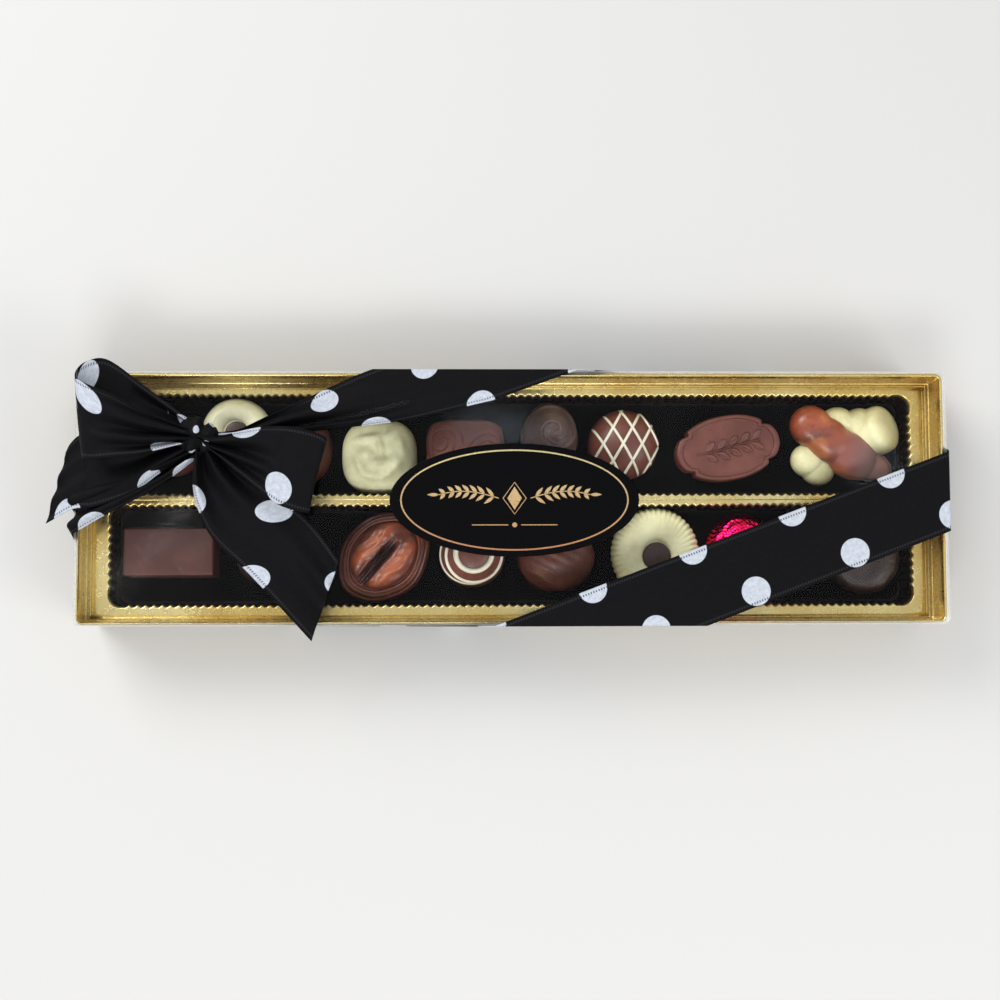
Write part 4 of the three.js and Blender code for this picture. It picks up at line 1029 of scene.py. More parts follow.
def thicken(piece, thickness, offset=0.0):
    """Gives a sheet its real thickness, in millimetres."""
    wall = piece.modifiers.new("thickness", "SOLIDIFY")
    wall.thickness, wall.offset, wall.use_even_offset = thickness * MM, offset, False
    return piece


def gold_material(name, painted_reflection_bands, shade):
    """Metallised sheet: bright gold with slow waves where the sheet was drawn and a fine grain.

    painted_reflection_bands are (low, high, share) in millimetres of height: how much of a deep shade, a
    painted reflection of the dark pieces around them that the walls mirror, is painted into the colour from
    low up to high, with less metal there. A band's ends are up to 1.2 mm soft.
    """
    material, tree, shader = new_material(name)
    place = add(tree, "ShaderNodeTexCoord").outputs["Object"]
    # deep is the colour of the painted reflection: the dark that the sheet would mirror.
    deep = rgb(*shade)
    slow = noise(tree, place, 26.0, 2.0)
    fine = noise(tree, place, 420.0, 3.0, 0.6)
    tint = rescale(tree, noise(tree, place, 34.0, 3.0), 0.35, 0.65)
    colour = blend_colours(tree, tint, rgb(208, 180, 108), rgb(226, 208, 148))
    height = add(tree, "ShaderNodeSeparateXYZ", {"Vector": place}).outputs["Z"]
    painted_reflection_share = 0.0
    # Each band paints that reflection into the colour and takes metal away under it.
    for low, high, most in painted_reflection_bands:
        soft = min(0.1 * (high - low), 0.6)
        rise = rescale(tree, height, (low - soft) * MM, (low + soft) * MM)
        fall = rescale(tree, height, (high - soft) * MM, (high + soft) * MM, 1.0, 0.0)
        share = maths(tree, "MULTIPLY", maths(tree, "MULTIPLY", rise, fall), most)
        colour = blend_colours(tree, share, colour, deep)
        painted_reflection_share = maths(tree, "MAXIMUM", painted_reflection_share, share)
    metal = maths(tree, "SUBTRACT", 1.0, maths(tree, "MULTIPLY", painted_reflection_share, 0.9))
    rough = rescale(tree, fine, 0.3, 0.7, 0.22, 0.37)
    relief = maths(tree, "ADD", maths(tree, "MULTIPLY", slow, 8.0), maths(tree, "MULTIPLY", fine, 0.1))
    fill(tree, shader, {"Base Color": colour, "Specular IOR Level": 0.15, "Metallic": metal})
    fill(tree, shader, {"Roughness": rough, "Normal": bump(tree, relief, 0.05, 0.001)})
    return material


# The channel walls below 13.9 mm are painted near black with little metal: a painted reflection of the black
# floor that they mirror.
CHANNEL_GOLD = gold_material("gold sheet of the channels", [(-20.0, 13.9, 1.0)], (24, 15, 12))
for side, name in ((1, "tray_channel_back"), (-1, "tray_channel_front")):
    channel = sheet_mesh(name, tray_channel(side), CHANNEL_GOLD, close_columns=True)
    stands_for(thicken(channel, 0.3, -1.0), "gold_foil", "gold_tray")
    print(name, len(channel.data.polygons), "quads")

# %% [markdown]
# ## Lip of the tray
# Outside the land the sheet turns up in a steep slope with two fine steps at its foot, folds over a round top
# and hangs down the lid's wall as a skirt. One profile of inset and height runs round a rounded rectangle.
# The tray sits a little off centre, so the foot of the slope is shifted towards the front left.

# %% Tray lip
LIP = [
    (2.75, 15.5), (2.55, 15.55), (2.42, 15.9), (2.32, 16.9), (2.05, 17.2), (1.95, 17.6), (1.88, 18.9),
    (1.6, 19.2), (1.5, 19.6), (1.2, 23.5), (1.0, 26.2), (0.88, 27.2), (0.66, 27.75), (0.42, 27.88),
    (0.18, 27.7), (0.06, 27.2), (0.0, 26.0), (0.0, 15.0), (0.0, 1.8),
]
# Painted reflections on the lip in a dark brown: the skirt below 13 mm, the steps at the slope's foot and the
# middle of the slope, for the dark that they mirror.
LIP_PAINTED_REFLECTIONS = [(-20.0, 13.0, 0.4), (16.1, 18.4, 0.3), (20.6, 24.4, 0.4)]


def tray_lip():
    """The lip's profile carried round the tray, with its foot shifted."""
    outline, normal = rounded_rectangle(300.6, 86.6, 2.4, 9, 60)
    profile = smooth_profile(LIP, 90)
    plan = outline[None] - normal[None] * profile[:, None, :1]
    plan = plan + np.clip(profile[:, None, :1] / 2.6, 0, 1) * FOOT_SHIFT
    height = profile[:, 1:] + 0 * plan[..., 0]
    return np.concatenate([plan, height[..., None]], axis=-1)[::-1]


LIP_GOLD = gold_material("gold sheet of the lip", LIP_PAINTED_REFLECTIONS, (120, 80, 44))
lip = sheet_mesh("tray_lip", tray_lip(), LIP_GOLD, close_columns=True)
stands_for(thicken(lip, 0.3, -1.0), "gold_foil", "gold_tray")
print("lip:", len(lip.data.polygons), "quads")

# %% [markdown]
# ## Paper and card
# The black paper in the channels and the white card below are flat sheets, so their CAD solids are shown as
# they are. They only get a finish: fibres in the paper, and a faint cloudiness in the card.

# %% Paper and card
def paper_material(name, colour, speck, roughness, relief):
    """Matt paper in one colour, with fibres of another in cloudy patches."""
    material, tree, shader = new_material(name)
    place = add(tree, "ShaderNodeTexCoord").outputs["Object"]
    fibre = noise(tree, place, 1500.0, 4.0, 0.7)
    cloud = noise(tree, place, 70.0, 2.0)
    share = rescale(tree, maths(tree, "MULTIPLY", fibre, cloud), 0.15, 0.4)
    mixed = blend_colours(tree, share, colour, speck)
    fill(tree, shader, {"Base Color": mixed, "Roughness": roughness, "Specular IOR Level": 0.06})
    fill(tree, shader, {"Normal": bump(tree, fibre, relief, 0.0002)})
    return material


BLACK_PAPER = paper_material("black paper", rgb(6, 6, 7), rgb(12, 11, 12), 0.8, 0.15)
WHITE_CARD = paper_material("white card", rgb(226, 224, 216), rgb(240, 238, 232), 0.7, 0.3)
for node, material, slot in (
    ("liner_back", BLACK_PAPER, "black_paper"),
    ("liner_front", BLACK_PAPER, "black_paper"),
    ("card_base", WHITE_CARD, "white_card"),
):
    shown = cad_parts[node]
    shown.data.materials.clear()
    shown.data.materials.append(material)
print("paper and card done")

# %% [markdown]
# ## Clear lid
# The lid is a thin shell with softly rounded edges. Light goes straight through such a thin film, so its
# material mixes a transparent shader with a glossy one. The share of gloss follows Fresnel's law up to a
# third, on the outside of each face only. A painted highlight, a little whitish translucent colour, lies
# along the folded edges. The top isn't perfectly flat: slow waves in it bend the reflections.

# %% Lid
LID_WALL, LID_CORNER, LID_EDGE = 0.5, 2.5, 1.5


def lid_rows(inset, top, edge):
    """(inset, height) from the rim up the wall, over the rounded edge and in over the top."""
    turn = np.linspace(0, np.pi / 2, 9)
    rows = [(inset, LID_FOOT), (inset, 8.0), (inset, 16.0), (inset, 23.0)]
    rows += [(inset + edge * (1 - np.cos(t)), top - edge * (1 - np.sin(t))) for t in turn]
    return np.array(rows)


def lid_skin(inset, top, edge, corner):
    """Rings of one face of the lid, from the rim to the middle of the top."""
    outline, normal = rounded_rectangle(LID_LENGTH, LID_WIDTH, corner, 9, 48)
    rows = lid_rows(inset, top, edge)
    plan = outline[None] - normal[None] * rows[:, None, :1]
    wall = np.concatenate([plan, rows[:, None, 1:] + 0 * plan[..., :1]], axis=-1)
    shrink = np.linspace(0.98, 0.02, 26)[:, None, None]
    spine = np.column_stack([np.clip(outline[:, 0], -107, 107), 0 * outline[:, 1]])
    flat = plan[-1][None] * shrink + spine[None] * (1 - shrink)
    wave = 0.02 * np.sin(flat[..., :1] / 19 + 1) * np.cos(flat[..., 1:] / 13) * (1 - shrink)
    return np.concatenate([wall, np.concatenate([flat, top + wave - 0.03 * (1 - shrink)], axis=-1)])


def clear_material(name):
    """A clear film: see-through, with a capped mirror on the outside of its faces and a whitish painted
    highlight at its edges.
    """
    material, tree, unused = new_material(name)
    tree.nodes.remove(unused)
    place = add(tree, "ShaderNodeTexCoord").outputs["Object"]
    waves = bump(tree, noise(tree, place, 9.0, 1.0), 0.02, 0.004)
    clear = add(tree, "ShaderNodeBsdfTransparent", {"Color": (0.985, 0.988, 0.985, 1.0)})
    gloss = add(tree, "ShaderNodeBsdfAnisotropic", {"Roughness": 0.08, "Normal": waves})
    fresnel = add(tree, "ShaderNodeFresnel", {"IOR": 1.22, "Normal": waves}).outputs[0]
    outside = maths(tree, "SUBTRACT", 1.0, add(tree, "ShaderNodeNewGeometry").outputs["Backfacing"])
    share = maths(tree, "MULTIPLY", maths(tree, "MINIMUM", fresnel, 0.33), outside)
    film = add(tree, "ShaderNodeMixShader", {0: share, 1: clear.outputs[0], 2: gloss.outputs[0]})
    axes = add(tree, "ShaderNodeSeparateXYZ", {"Vector": place})
    # Painted highlight: the faces within 1.3 mm of the lid's sides mix in up to 60 % of a whitish translucent
    # shader, for the light that the folded edges catch.
    edge = 0.0
    for axis, middle, size in (("X", LID_MIDDLE[0], LID_LENGTH), ("Y", LID_MIDDLE[1], LID_WIDTH)):
        away = maths(tree, "ABSOLUTE", maths(tree, "SUBTRACT", axes.outputs[axis], float(middle)))
        reach = rescale(tree, away, (size / 2 - 1.3) * MM, (size / 2 - 0.1) * MM, 0.0, 0.6)
        edge = maths(tree, "MAXIMUM", edge, reach)
    white = add(tree, "ShaderNodeBsdfTranslucent", {"Color": (0.92, 0.92, 0.9, 1.0)})
    whole = add(tree, "ShaderNodeMixShader", {0: edge, 1: film.outputs[0], 2: white.outputs[0]})
    tree.links.new(whole.outputs[0], tree.nodes["Material Output"].inputs["Surface"])
    return material


outer = lid_skin(0.0, LID_TOP, LID_EDGE, LID_CORNER)
inner = lid_skin(LID_WALL, LID_TOP - LID_WALL, LID_EDGE - 0.4, LID_CORNER)
lid = round_mesh("clear_lid_shell", np.concatenate([inner[::-1], outer]), clear_material("clear film"))
stands_for(lid, "clear_plastic", "clear_lid")
print("lid:", len(lid.data.polygons), "faces")

# %% [markdown]
# ## Oval sticker
# A thin oval of satin black paper with a gold line round it. In place of any lettering it carries a plain
# ornament: a lozenge with a spray of leaves on each side and a fine rule under it. All the gold is real
# geometry, as thin as foil, so that it catches the light on its own.

# %% Sticker
STICKER_X, STICKER_Y, STICKER_LENGTH, STICKER_WIDTH = 0.0, -1.0, 86.0, 39.2
STICKER_LOW, STICKER_TOP = LID_TOP + 0.1, LID_TOP + 0.42


def oval_rings():
    """The paper: a disc with a rounded edge, in rings from its foot to the middle of its top."""
    edge = [(0.99, 0.0), (1.0, 0.5), (0.997, 0.9), (0.99, 1.0)]
    rows = np.array(edge + [(share, 1.0) for share in np.linspace(0.9, 0.02, 9)])
    angle = np.linspace(0, 2 * np.pi, 256, endpoint=False)[None]
    x = STICKER_X + rows[:, :1] * np.cos(angle) * STICKER_LENGTH / 2
    y = STICKER_Y + rows[:, :1] * np.sin(angle) * STICKER_WIDTH / 2
    z = STICKER_LOW + rows[:, 1:] * (STICKER_TOP - STICKER_LOW) + 0 * x
    return np.stack([x, y, z], -1)


FOIL = 0.06


def foil_shape(outline):
    """A flat foil patch from a closed outline: points and faces of a thin plate."""
    outline = np.asarray(outline, float) + [STICKER_X, STICKER_Y]
    count = len(outline)
    low = np.column_stack([outline, np.full(count, STICKER_TOP - 0.02)])
    high = np.column_stack([outline, np.full(count, STICKER_TOP + FOIL)])
    centre = np.append(outline.mean(0), STICKER_TOP + FOIL)[None]
    points = np.concatenate([low, high, centre])
    here, ahead = np.arange(count), (np.arange(count) + 1) % count
    sides = np.stack([here, ahead, ahead + count, here + count], -1).tolist()
    top = np.stack([here + count, ahead + count, np.full(count, 2 * count)], -1).tolist()
    return points, sides + top + [list(range(count))[::-1]]


def foil_line(path, width, closed=False):
    """A flat foil line of this width along path[i] in plan: points and faces of a thin bar."""
    path = np.asarray(path, float) + [STICKER_X, STICKER_Y]
    if closed:
        ahead = np.roll(path, -1, axis=0) - np.roll(path, 1, axis=0)
    else:
        ahead = np.gradient(path, axis=0)
    ahead /= np.linalg.norm(ahead, axis=1, keepdims=True)
    side = np.column_stack([-ahead[:, 1], ahead[:, 0]]) * width / 2
    low, high = STICKER_TOP - 0.02, STICKER_TOP + FOIL
    corners = [(path - side, low), (path + side, low), (path + side, high), (path - side, high)]
    ring = np.stack([np.column_stack([plan, np.full(len(path), z)]) for plan, z in corners], axis=1)
    faces = grid_faces(len(path), 4, close_rows=closed, close_columns=True).tolist()
    if not closed:
        last = 4 * (len(path) - 1)
        faces += [[3, 2, 1, 0], [last, last + 1, last + 2, last + 3]]
    return ring.reshape(-1, 3), faces


def leaf_outline(x, y, lean, length, width):
    """A pointed leaf from its foot at (x, y)."""
    t = np.linspace(0, 1, 13)
    half = width * np.sin(np.pi * t) * (1 - 0.35 * t)
    up = np.column_stack([t * length, half])
    down = np.column_stack([t[1:-1][::-1] * length, -half[1:-1][::-1]])
    shape = np.concatenate([up, down])[::-1]
    c, s = np.cos(lean), np.sin(lean)
    return np.column_stack([x + c * shape[:, 0] - s * shape[:, 1], y + s * shape[:, 0] + c * shape[:, 1]])


def ornament():
    """A lozenge, a spray of paired leaves on each side along a bowed stem, and two short rules."""
    angle = np.linspace(0, 2 * np.pi, 320, endpoint=False)
    border = np.column_stack([39.1 * np.cos(angle), 17.2 * np.sin(angle)])
    bodies = [foil_line(border, 0.52, closed=True)]
    bodies.append(foil_shape([(0, -3.4), (2.5, 0.6), (0, 4.6), (-2.5, 0.6)]))
    bodies.append(foil_line([(0, -4.9), (4.0, 0.6), (0, 6.1), (-4.0, 0.6)], 0.3, closed=True))
    for way in (-1, 1):
        t = np.linspace(0, 1, 40)
        stem = np.column_stack([way * (5.5 + 20.5 * t), 0.6 + 2.4 * np.sin(2.6 * t)])
        bodies.append(foil_line(stem, 0.32))
        for k, share in enumerate(np.linspace(0.1, 0.9, 7)):
            foot = stem[int(share * 39)]
            for side in (-1, 1):
                lean = side * np.radians(42) + 0.35 * (0.5 - share)
                lean = lean if way > 0 else np.pi - lean
                bodies.append(foil_shape(leaf_outline(*foot, lean, 4.3 - 0.25 * k, 0.72)))
        bodies.append(foil_shape(leaf_outline(*stem[-1], 0.0 if way > 0 else np.pi, 4.2, 0.7)))
        rule = np.column_stack([way * (2.2 + 12.5 * t), -8.6 + 0 * t])
        bodies.append(foil_line(rule, 0.34))
    small = np.linspace(0, 2 * np.pi, 20, endpoint=False)
    bodies.append(foil_shape(np.column_stack([0.85 * np.cos(small), -8.6 + 0.85 * np.sin(small)])))
    return bodies


def sticker_paper():
    """Satin black paper with a fine grain."""
    material, tree, shader = new_material("black sticker paper")
    place = add(tree, "ShaderNodeTexCoord").outputs["Object"]
    grain = noise(tree, place, 2200.0, 3.0, 0.6)
    shade = blend_colours(tree, rescale(tree, grain, 0.35, 0.65), rgb(4, 4, 5), rgb(9, 9, 10))
    rough = rescale(tree, grain, 0.3, 0.7, 0.42, 0.55)
    fill(tree, shader, {"Base Color": shade, "Specular IOR Level": 0.03, "Roughness": rough})
    fill(tree, shader, {"Normal": bump(tree, grain, 0.15, 0.0002)})
    return material


def printed_gold():
    """Gold foil that goes from pale at its top to copper at its foot."""
    material, tree, shader = new_material("printed gold")
    place = add(tree, "ShaderNodeTexCoord").outputs["Object"]
    height = add(tree, "ShaderNodeSeparateXYZ", {"Vector": place}).outputs["Y"]
    share = rescale(tree, height, -0.02, 0.014)
    colour = blend_colours(tree, share, rgb(206, 138, 98), rgb(222, 202, 146))
    grain = noise(tree, place, 900.0, 2.0)
    rough = rescale(tree, grain, 0.3, 0.7, 0.24, 0.36)
    fill(tree, shader, {"Base Color": colour, "Metallic": 1.0, "Roughness": rough})
    fill(tree, shader, {"Normal": bump(tree, grain, 0.12, 0.0002)})
    return material


paper = round_mesh("oval_sticker_paper", oval_rings(), sticker_paper())
stands_for(paper, "sticker_paper", "oval_sticker")
gold_print = joined_mesh("oval_sticker_print", ornament(), printed_gold(), smooth=False)
stands_for(gold_print, "sticker_paper")
print("ornament:", len(gold_print.data.polygons), "faces")

# %% [markdown]
# ## Ribbon: cloth between two edges
# A ribbon is 26 mm of satin between two edges. Each run is given by its two edges in space, and the cloth is
# laid between them. Where the edges come closer than the cloth is wide, the spare width has to go somewhere:
# it rises and falls in pleats, and the height of a pleat follows from how much spare width there is. The UV
# map holds the flat cloth: how far along it a point lies and how far across, so that the dots stay round.

# %% Cloth maths
CLOTH, CLOTH_COLUMNS = 26.0, 40
SLACK = 1.12


def through(points, count):
    """A Catmull-Rom curve through points, sampled evenly in its own length."""
    return evenly(smooth_profile(points, 40 * (len(points) - 1) + 1), count)


def lengths(path):
    """How far along a path each of its points lies."""
    return np.concatenate([[0], np.cumsum(np.linalg.norm(np.diff(path, axis=0), axis=1))])


def evenly(path, count):
    """The same path with count points at equal steps."""
    s = lengths(path)
    want = np.linspace(0, s[-1], count)
    return np.column_stack([np.interp(want, s, path[:, k]) for k in range(3)])


def folded(corners, counts, radius=0.9):
    """A path through corners[k], straight between them, with each inner corner turned on a small radius."""
    corners = np.asarray(corners, float)
    pieces, start = [], corners[0]
    for k in range(1, len(corners)):
        here, way = corners[k], corners[k] - corners[k - 1]
        way /= np.linalg.norm(way)
        last = k == len(corners) - 1
        stop = here if last else here - way * radius
        share = np.linspace(0, 1, counts[k - 1])[:, None]
        pieces.append(start * (1 - share) + stop * share)
        if not last:
            onward = corners[k + 1] - here
            onward /= np.linalg.norm(onward)
            leave = here + onward * radius
            t = np.linspace(0, 1, 7)[1:-1, None]
            pieces.append(stop * (1 - t) ** 2 + 2 * here * t * (1 - t) + leave * t**2)
            start = leave
    return np.concatenate(pieces)


def cloth(first, second, starts=(0.0, 0.0), pleats=3.0, phase=0.0, crown=None):
    """The grid of a run of ribbon between two edges, and its UV in millimetres.

    Where the edges lie d apart and the flat cloth is w apart, the run is narrower than the ribbon by d / w.
    Pleats of n waves and height 26 (d / w) / (2 pi n) sqrt(2 ((w / d)^2 - 1)) take up the rest, once it is
    more than a few hundredths. crown(share) bows the whole width by some millimetres.
    """
    along_first, along_second = starts[0] + lengths(first), starts[1] + lengths(second)
    gap = np.linalg.norm(second - first, axis=1)
    width = np.hypot(CLOTH, along_second - along_first)
    spare = np.clip((width / np.maximum(gap, 1e-6)) ** 2 - SLACK, 0, 30)
    height = CLOTH * gap / width / (2 * np.pi * pleats) * np.sqrt(2 * spare)
    w = np.linspace(0, 1, CLOTH_COLUMNS)[None]
    share = np.linspace(0, 1, len(first))[:, None]
    drift = w + 0.05 * np.sin(2 * np.pi * w + phase + 2 * share)
    wave = np.sin(2 * np.pi * pleats * drift + phase) * np.clip(np.sin(np.pi * w) * 3, 0, 1)
    grid = first[:, None] * (1 - w[..., None]) + second[:, None] * w[..., None]
    normal = np.cross(np.gradient(grid, axis=0), np.gradient(grid, axis=1))
    normal /= np.maximum(np.linalg.norm(normal, axis=-1, keepdims=True), 1e-9)
    lift = height[:, None] * wave
    if crown is not None:
        lift = lift + crown(share) * 4 * w * (1 - w)
    grid = grid + normal * lift[..., None]
    u = along_first[:, None] * (1 - w) + along_second[:, None] * w
    return grid, np.stack([u, CLOTH * w + 0 * u], -1)


# %% [markdown]
# ## Ribbon: satin with dots
# The dots are 10 mm across in two rows: one row is centred on one edge of the ribbon and so is cut in half,
# the other lies 5 mm in from the far edge and a little over half a step along. A line of stitches runs inside
# each edge, and the weave is a fine rib across the cloth. All of it is one node group that reads the flat
# cloth's UV.

# %% Satin
DOT, DOT_STEP, DOT_SHIFT, DOT_ROWS = 10.0, 37.0, 21.6, (26.0, 5.0)
STITCH_INSET, STITCHES_PER_MM = 1.3, 1.05


def satin_group():
    """From UV in metres: a mask of the dots, a mask of the stitches and the height of the weave."""
    results = [("Dots", "Float"), ("Stitch", "Float"), ("Weave", "Float")]
    tree, given, result = new_group("satin pattern", [("Cloth", "Vector", None)], results)
    place = add(tree, "ShaderNodeSeparateXYZ", {"Vector": given["Cloth"]})
    u, v = (maths(tree, "MULTIPLY", place.outputs[k], 1000.0) for k in (0, 1))
    dots = 0.0
    for row, shift in ((DOT_ROWS[0], 0.0), (DOT_ROWS[1], DOT_SHIFT)):
        turns = maths(tree, "DIVIDE", maths(tree, "SUBTRACT", u, shift), DOT_STEP)
        turn = maths(tree, "FRACT", maths(tree, "ADD", turns, 100.5))
        along = maths(tree, "MULTIPLY", maths(tree, "SUBTRACT", turn, 0.5), DOT_STEP)
        across = maths(tree, "SUBTRACT", v, row)
        squares = [maths(tree, "MULTIPLY", away, away) for away in (along, across)]
        reach = maths(tree, "SQRT", maths(tree, "ADD", *squares))
        dots = maths(tree, "MAXIMUM", dots, rescale(tree, reach, DOT / 2 + 0.08, DOT / 2 - 0.08))
    from_far = maths(tree, "ABSOLUTE", maths(tree, "SUBTRACT", CLOTH, v))
    inset = maths(tree, "MINIMUM", maths(tree, "ABSOLUTE", v), from_far)
    line = rescale(tree, maths(tree, "ABSOLUTE", maths(tree, "SUBTRACT", inset, STITCH_INSET)), 0.45, 0.3)
    ticks = maths(tree, "MULTIPLY", maths(tree, "ADD", u, 1000.0), STITCHES_PER_MM)
    stitch = maths(tree, "MULTIPLY", line, rescale(tree, maths(tree, "FRACT", ticks), 0.52, 0.44))
    rib = maths(tree, "SINE", maths(tree, "MULTIPLY", u, 18.0))
    thread = maths(tree, "SINE", maths(tree, "MULTIPLY", v, 26.0))
    weave = maths(tree, "ADD", maths(tree, "MULTIPLY", rib, 0.5), maths(tree, "MULTIPLY", thread, 0.35))
    weave = maths(tree, "SUBTRACT", weave, maths(tree, "MULTIPLY", stitch, 1.6))
    for label, value in (("Dots", dots), ("Stitch", stitch), ("Weave", weave)):
        tree.links.new(value, result.inputs[label])
    return tree


def satin_material():
    """Black satin with pale dots, dark grey stitches and a faint sheen."""
    material, tree, shader = new_material("dotted satin")
    flat = add(tree, "ShaderNodeTexCoord").outputs["UV"]
    pattern = add(tree, "ShaderNodeGroup", node_tree=satin_group())
    tree.links.new(flat, pattern.inputs["Cloth"])
    fluff = noise(tree, flat, 700.0, 3.0, 0.7)
    ink = blend_colours(tree, rescale(tree, fluff, 0.35, 0.7), rgb(5, 5, 6), rgb(11, 11, 13))
    stitched = blend_colours(tree, pattern.outputs["Stitch"], ink, rgb(36, 36, 40))
    white = blend_colours(tree, rescale(tree, fluff, 0.3, 0.7), rgb(152, 157, 166), rgb(180, 185, 193))
    ticked = blend_colours(tree, pattern.outputs["Stitch"], white, rgb(84, 86, 96))
    colour = blend_colours(tree, pattern.outputs["Dots"], stitched, ticked)
    rough = rescale(tree, fluff, 0.3, 0.7, 0.55, 0.7)
    fill(tree, shader, {"Base Color": colour, "Roughness": rough, "Specular IOR Level": 0.07})
    fill(tree, shader, {"Sheen Weight": 0.018, "Sheen Roughness": 0.4, "Sheen Tint": rgb(150, 152, 160)})
    fill(tree, shader, {"Normal": bump(tree, pattern.outputs["Weave"], 0.22, 0.00012)})
    return material


SATIN = satin_material()


def ribbon_piece(name, first, second, held, rests_on, stood_for, starts=(0.0, 0.0), shift=0.0, flip=False,
                 skips=(), **shape):
    """One run of ribbon with its thickness, finish and its size as a flat strip.

    shift and flip set where the print lies. Each of skips, (where, amount), moves it on past a hidden place.
    """
    grid, uv = cloth(first, second, starts, **shape)
    printed = [shift, CLOTH] - uv if flip else uv + [shift, 0.0]
    for where, amount in skips:
        printed = printed + (uv[..., :1] > where) * [amount, 0.0]
    piece = sheet_mesh(name, grid, SATIN, printed)
    thicken(piece, 0.28)
    stands_for(piece, "ribbon_satin", *stood_for)
    return piece


# %% [markdown]
# ## Ribbon: round the box
# From the knot the ribbon runs over the back edge, under the box, up over the right end, back over the top
# and down the front, under the box again and up over the left end to the knot. It folds at each edge of the
# box.

# %% Wraps
SIDE_X, SIDE_Y, ON_TOP, BELOW = 151.32, 44.32, 30.86, 0.2
RIGHT_FOOT, RIGHT_TOP = (-0.5, 27.3), (-11.9, 15.9)
FRONT_TOP, FRONT_FOOT = (66.5, -7.1), (-13.2, -86.8)
LEFT_FOOT, LEFT_TOP = (-0.1, -27.9), (8.0, -12.6)
BACK_TOP, BACK_FOOT = (-49.2, 22.4), (33.2, 106.8)
SEAM = ((140.0, 3.8), (140.0, 31.6))
SKEW = 9.83

front_edges = []
for k, run_in in enumerate(
    (
        [(-140, 9.5, 30.95), (-129.9, 12.4, 31.2), (-118.6, 15.4, 32.0), (-107, 18.5, 33.0)],
        [(-140, -5.9, 30.95), (-129.9, -0.6, 31.1), (-118.6, 6.2, 31.8), (-106, 15.5, 33.0)],
    )
):
    corners = [(*SEAM[k], BELOW), (SIDE_X, RIGHT_FOOT[k], BELOW), (SIDE_X, RIGHT_TOP[k], ON_TOP)]
    corners += [(FRONT_TOP[k], -SIDE_Y, ON_TOP), (FRONT_FOOT[k], -SIDE_Y, BELOW)]
    corners += [(-SIDE_X, LEFT_FOOT[k], BELOW), (-SIDE_X, LEFT_TOP[k], ON_TOP), run_in[0]]
    wrap = folded(corners, (6, 18, 90, 40, 60, 18, 8))
    front_edges.append(np.concatenate([wrap, through(run_in, 40)[1:]]))
ribbon_piece(
    "ribbon_front_wrap",
    *front_edges,
    "folded",
    ["clear_lid"],
    ["ribbon_right_band", "ribbon_under_left", "ribbon_left_run"],
    starts=(SKEW, 0.0),
    shift=7.4,
    skips=[(340.0, -7.4)],
    pleats=2.0,
)

back_edges = []
for k, run_out in enumerate(
    (
        [(-106.6, 22, 33.6), (-99.2, 22.3, 33.2), (-94.1, 23.3, 32.8), (-85.7, 27.4, 32.2),
         (-68.7, 35.6, 31.3), (-56.7, 41.4, 30.95)],
        [(-106, 18.5, 33.4), (-97, 18.8, 33), (-86, 20, 32.4), (-65.7, 23.2, 31.6), (-38.2, 26.6, 31.1),
         (-7.3, 33.6, 30.9)],
    )
):
    corners = [run_out[-1], (BACK_TOP[k], SIDE_Y, ON_TOP), (BACK_FOOT[k], SIDE_Y, BELOW), (*SEAM[k], BELOW)]
    wrap = folded(corners, (12, 40, 60))
    back_edges.append(np.concatenate([through(run_out, 80), wrap[1:]]))
ribbon_piece(
    "ribbon_back_wrap",
    *back_edges,
    "folded",
    ["clear_lid"],
    ["ribbon_back_run", "ribbon_under_right"],
    shift=15.2,
    pleats=2.0,
    phase=0.6,
)

# %% [markdown]
# ## Ribbon: the bow
# Two loops, two tails and the knot. Each loop starts at the knot as its under layer, turns at the far end and
# comes back on top. The tails run out from under the knot and are cut at a slant.

# %% Bow
LOOP_LEFT = (
    [(-108, 24, 36), (-124.9, 36.7, 35), (-138.5, 46.6, 36), (-145.4, 45.6, 38.6), (-148, 41.5, 41.8),
     (-145.6, 38.2, 44.6), (-134.7, 33.3, 45.2), (-125.8, 28.7, 44), (-119.5, 26, 42), (-108, 21.6, 38.4)],
    [(-108, 18.5, 35.2), (-125, 17.2, 34.2), (-138, 16, 34), (-144, 14.5, 36), (-146, 13, 39.4),
     (-142.6, 12, 42.6), (-134, 12.8, 43), (-126, 13.9, 41.8), (-118, 16.2, 40), (-108, 19, 37.6)],
)
LOOP_RIGHT = (
    [(-108, 21.2, 38), (-101.5, 19.8, 39.4), (-93.5, 21.5, 40.6), (-85.4, 23, 41.4), (-77, 23.2, 41.8),
     (-69.9, 22, 41.4), (-65.2, 20.4, 40.2), (-63.9, 18.9, 38.2), (-65.5, 18.6, 36), (-76, 20, 34.6),
     (-90, 20.5, 34.8), (-108, 20, 35.4)],
    [(-106.8, 19, 37.6), (-102, 15, 38.4), (-97.2, 11.1, 39), (-88.6, 3.6, 39.5), (-81.1, -2.5, 39.7),
     (-75.4, -4.8, 39.5), (-71.3, -5.8, 38.2), (-70, -5.8, 36.2), (-72.5, -5.2, 34.4), (-82, 0, 33.8),
     (-94, 9, 34.2), (-106, 17.5, 34.8)],
)
TAIL_LEFT = (
    [(-107, 18, 33.8), (-121, 8.4, 33.2), (-129, 2.2, 32.8), (-136, -0.9, 32.6), (-144.6, -3.5, 32),
     (-151, -4, 31.4), (-160.4, -8.8, 29.8)],
    [(-108, 24, 34), (-121, 24, 33.5), (-130, 23.8, 33.2), (-138, 23.4, 33), (-147.5, 21.8, 32.4),
     (-151.6, 18.8, 32), (-153.4, 15.6, 31.6)],
)
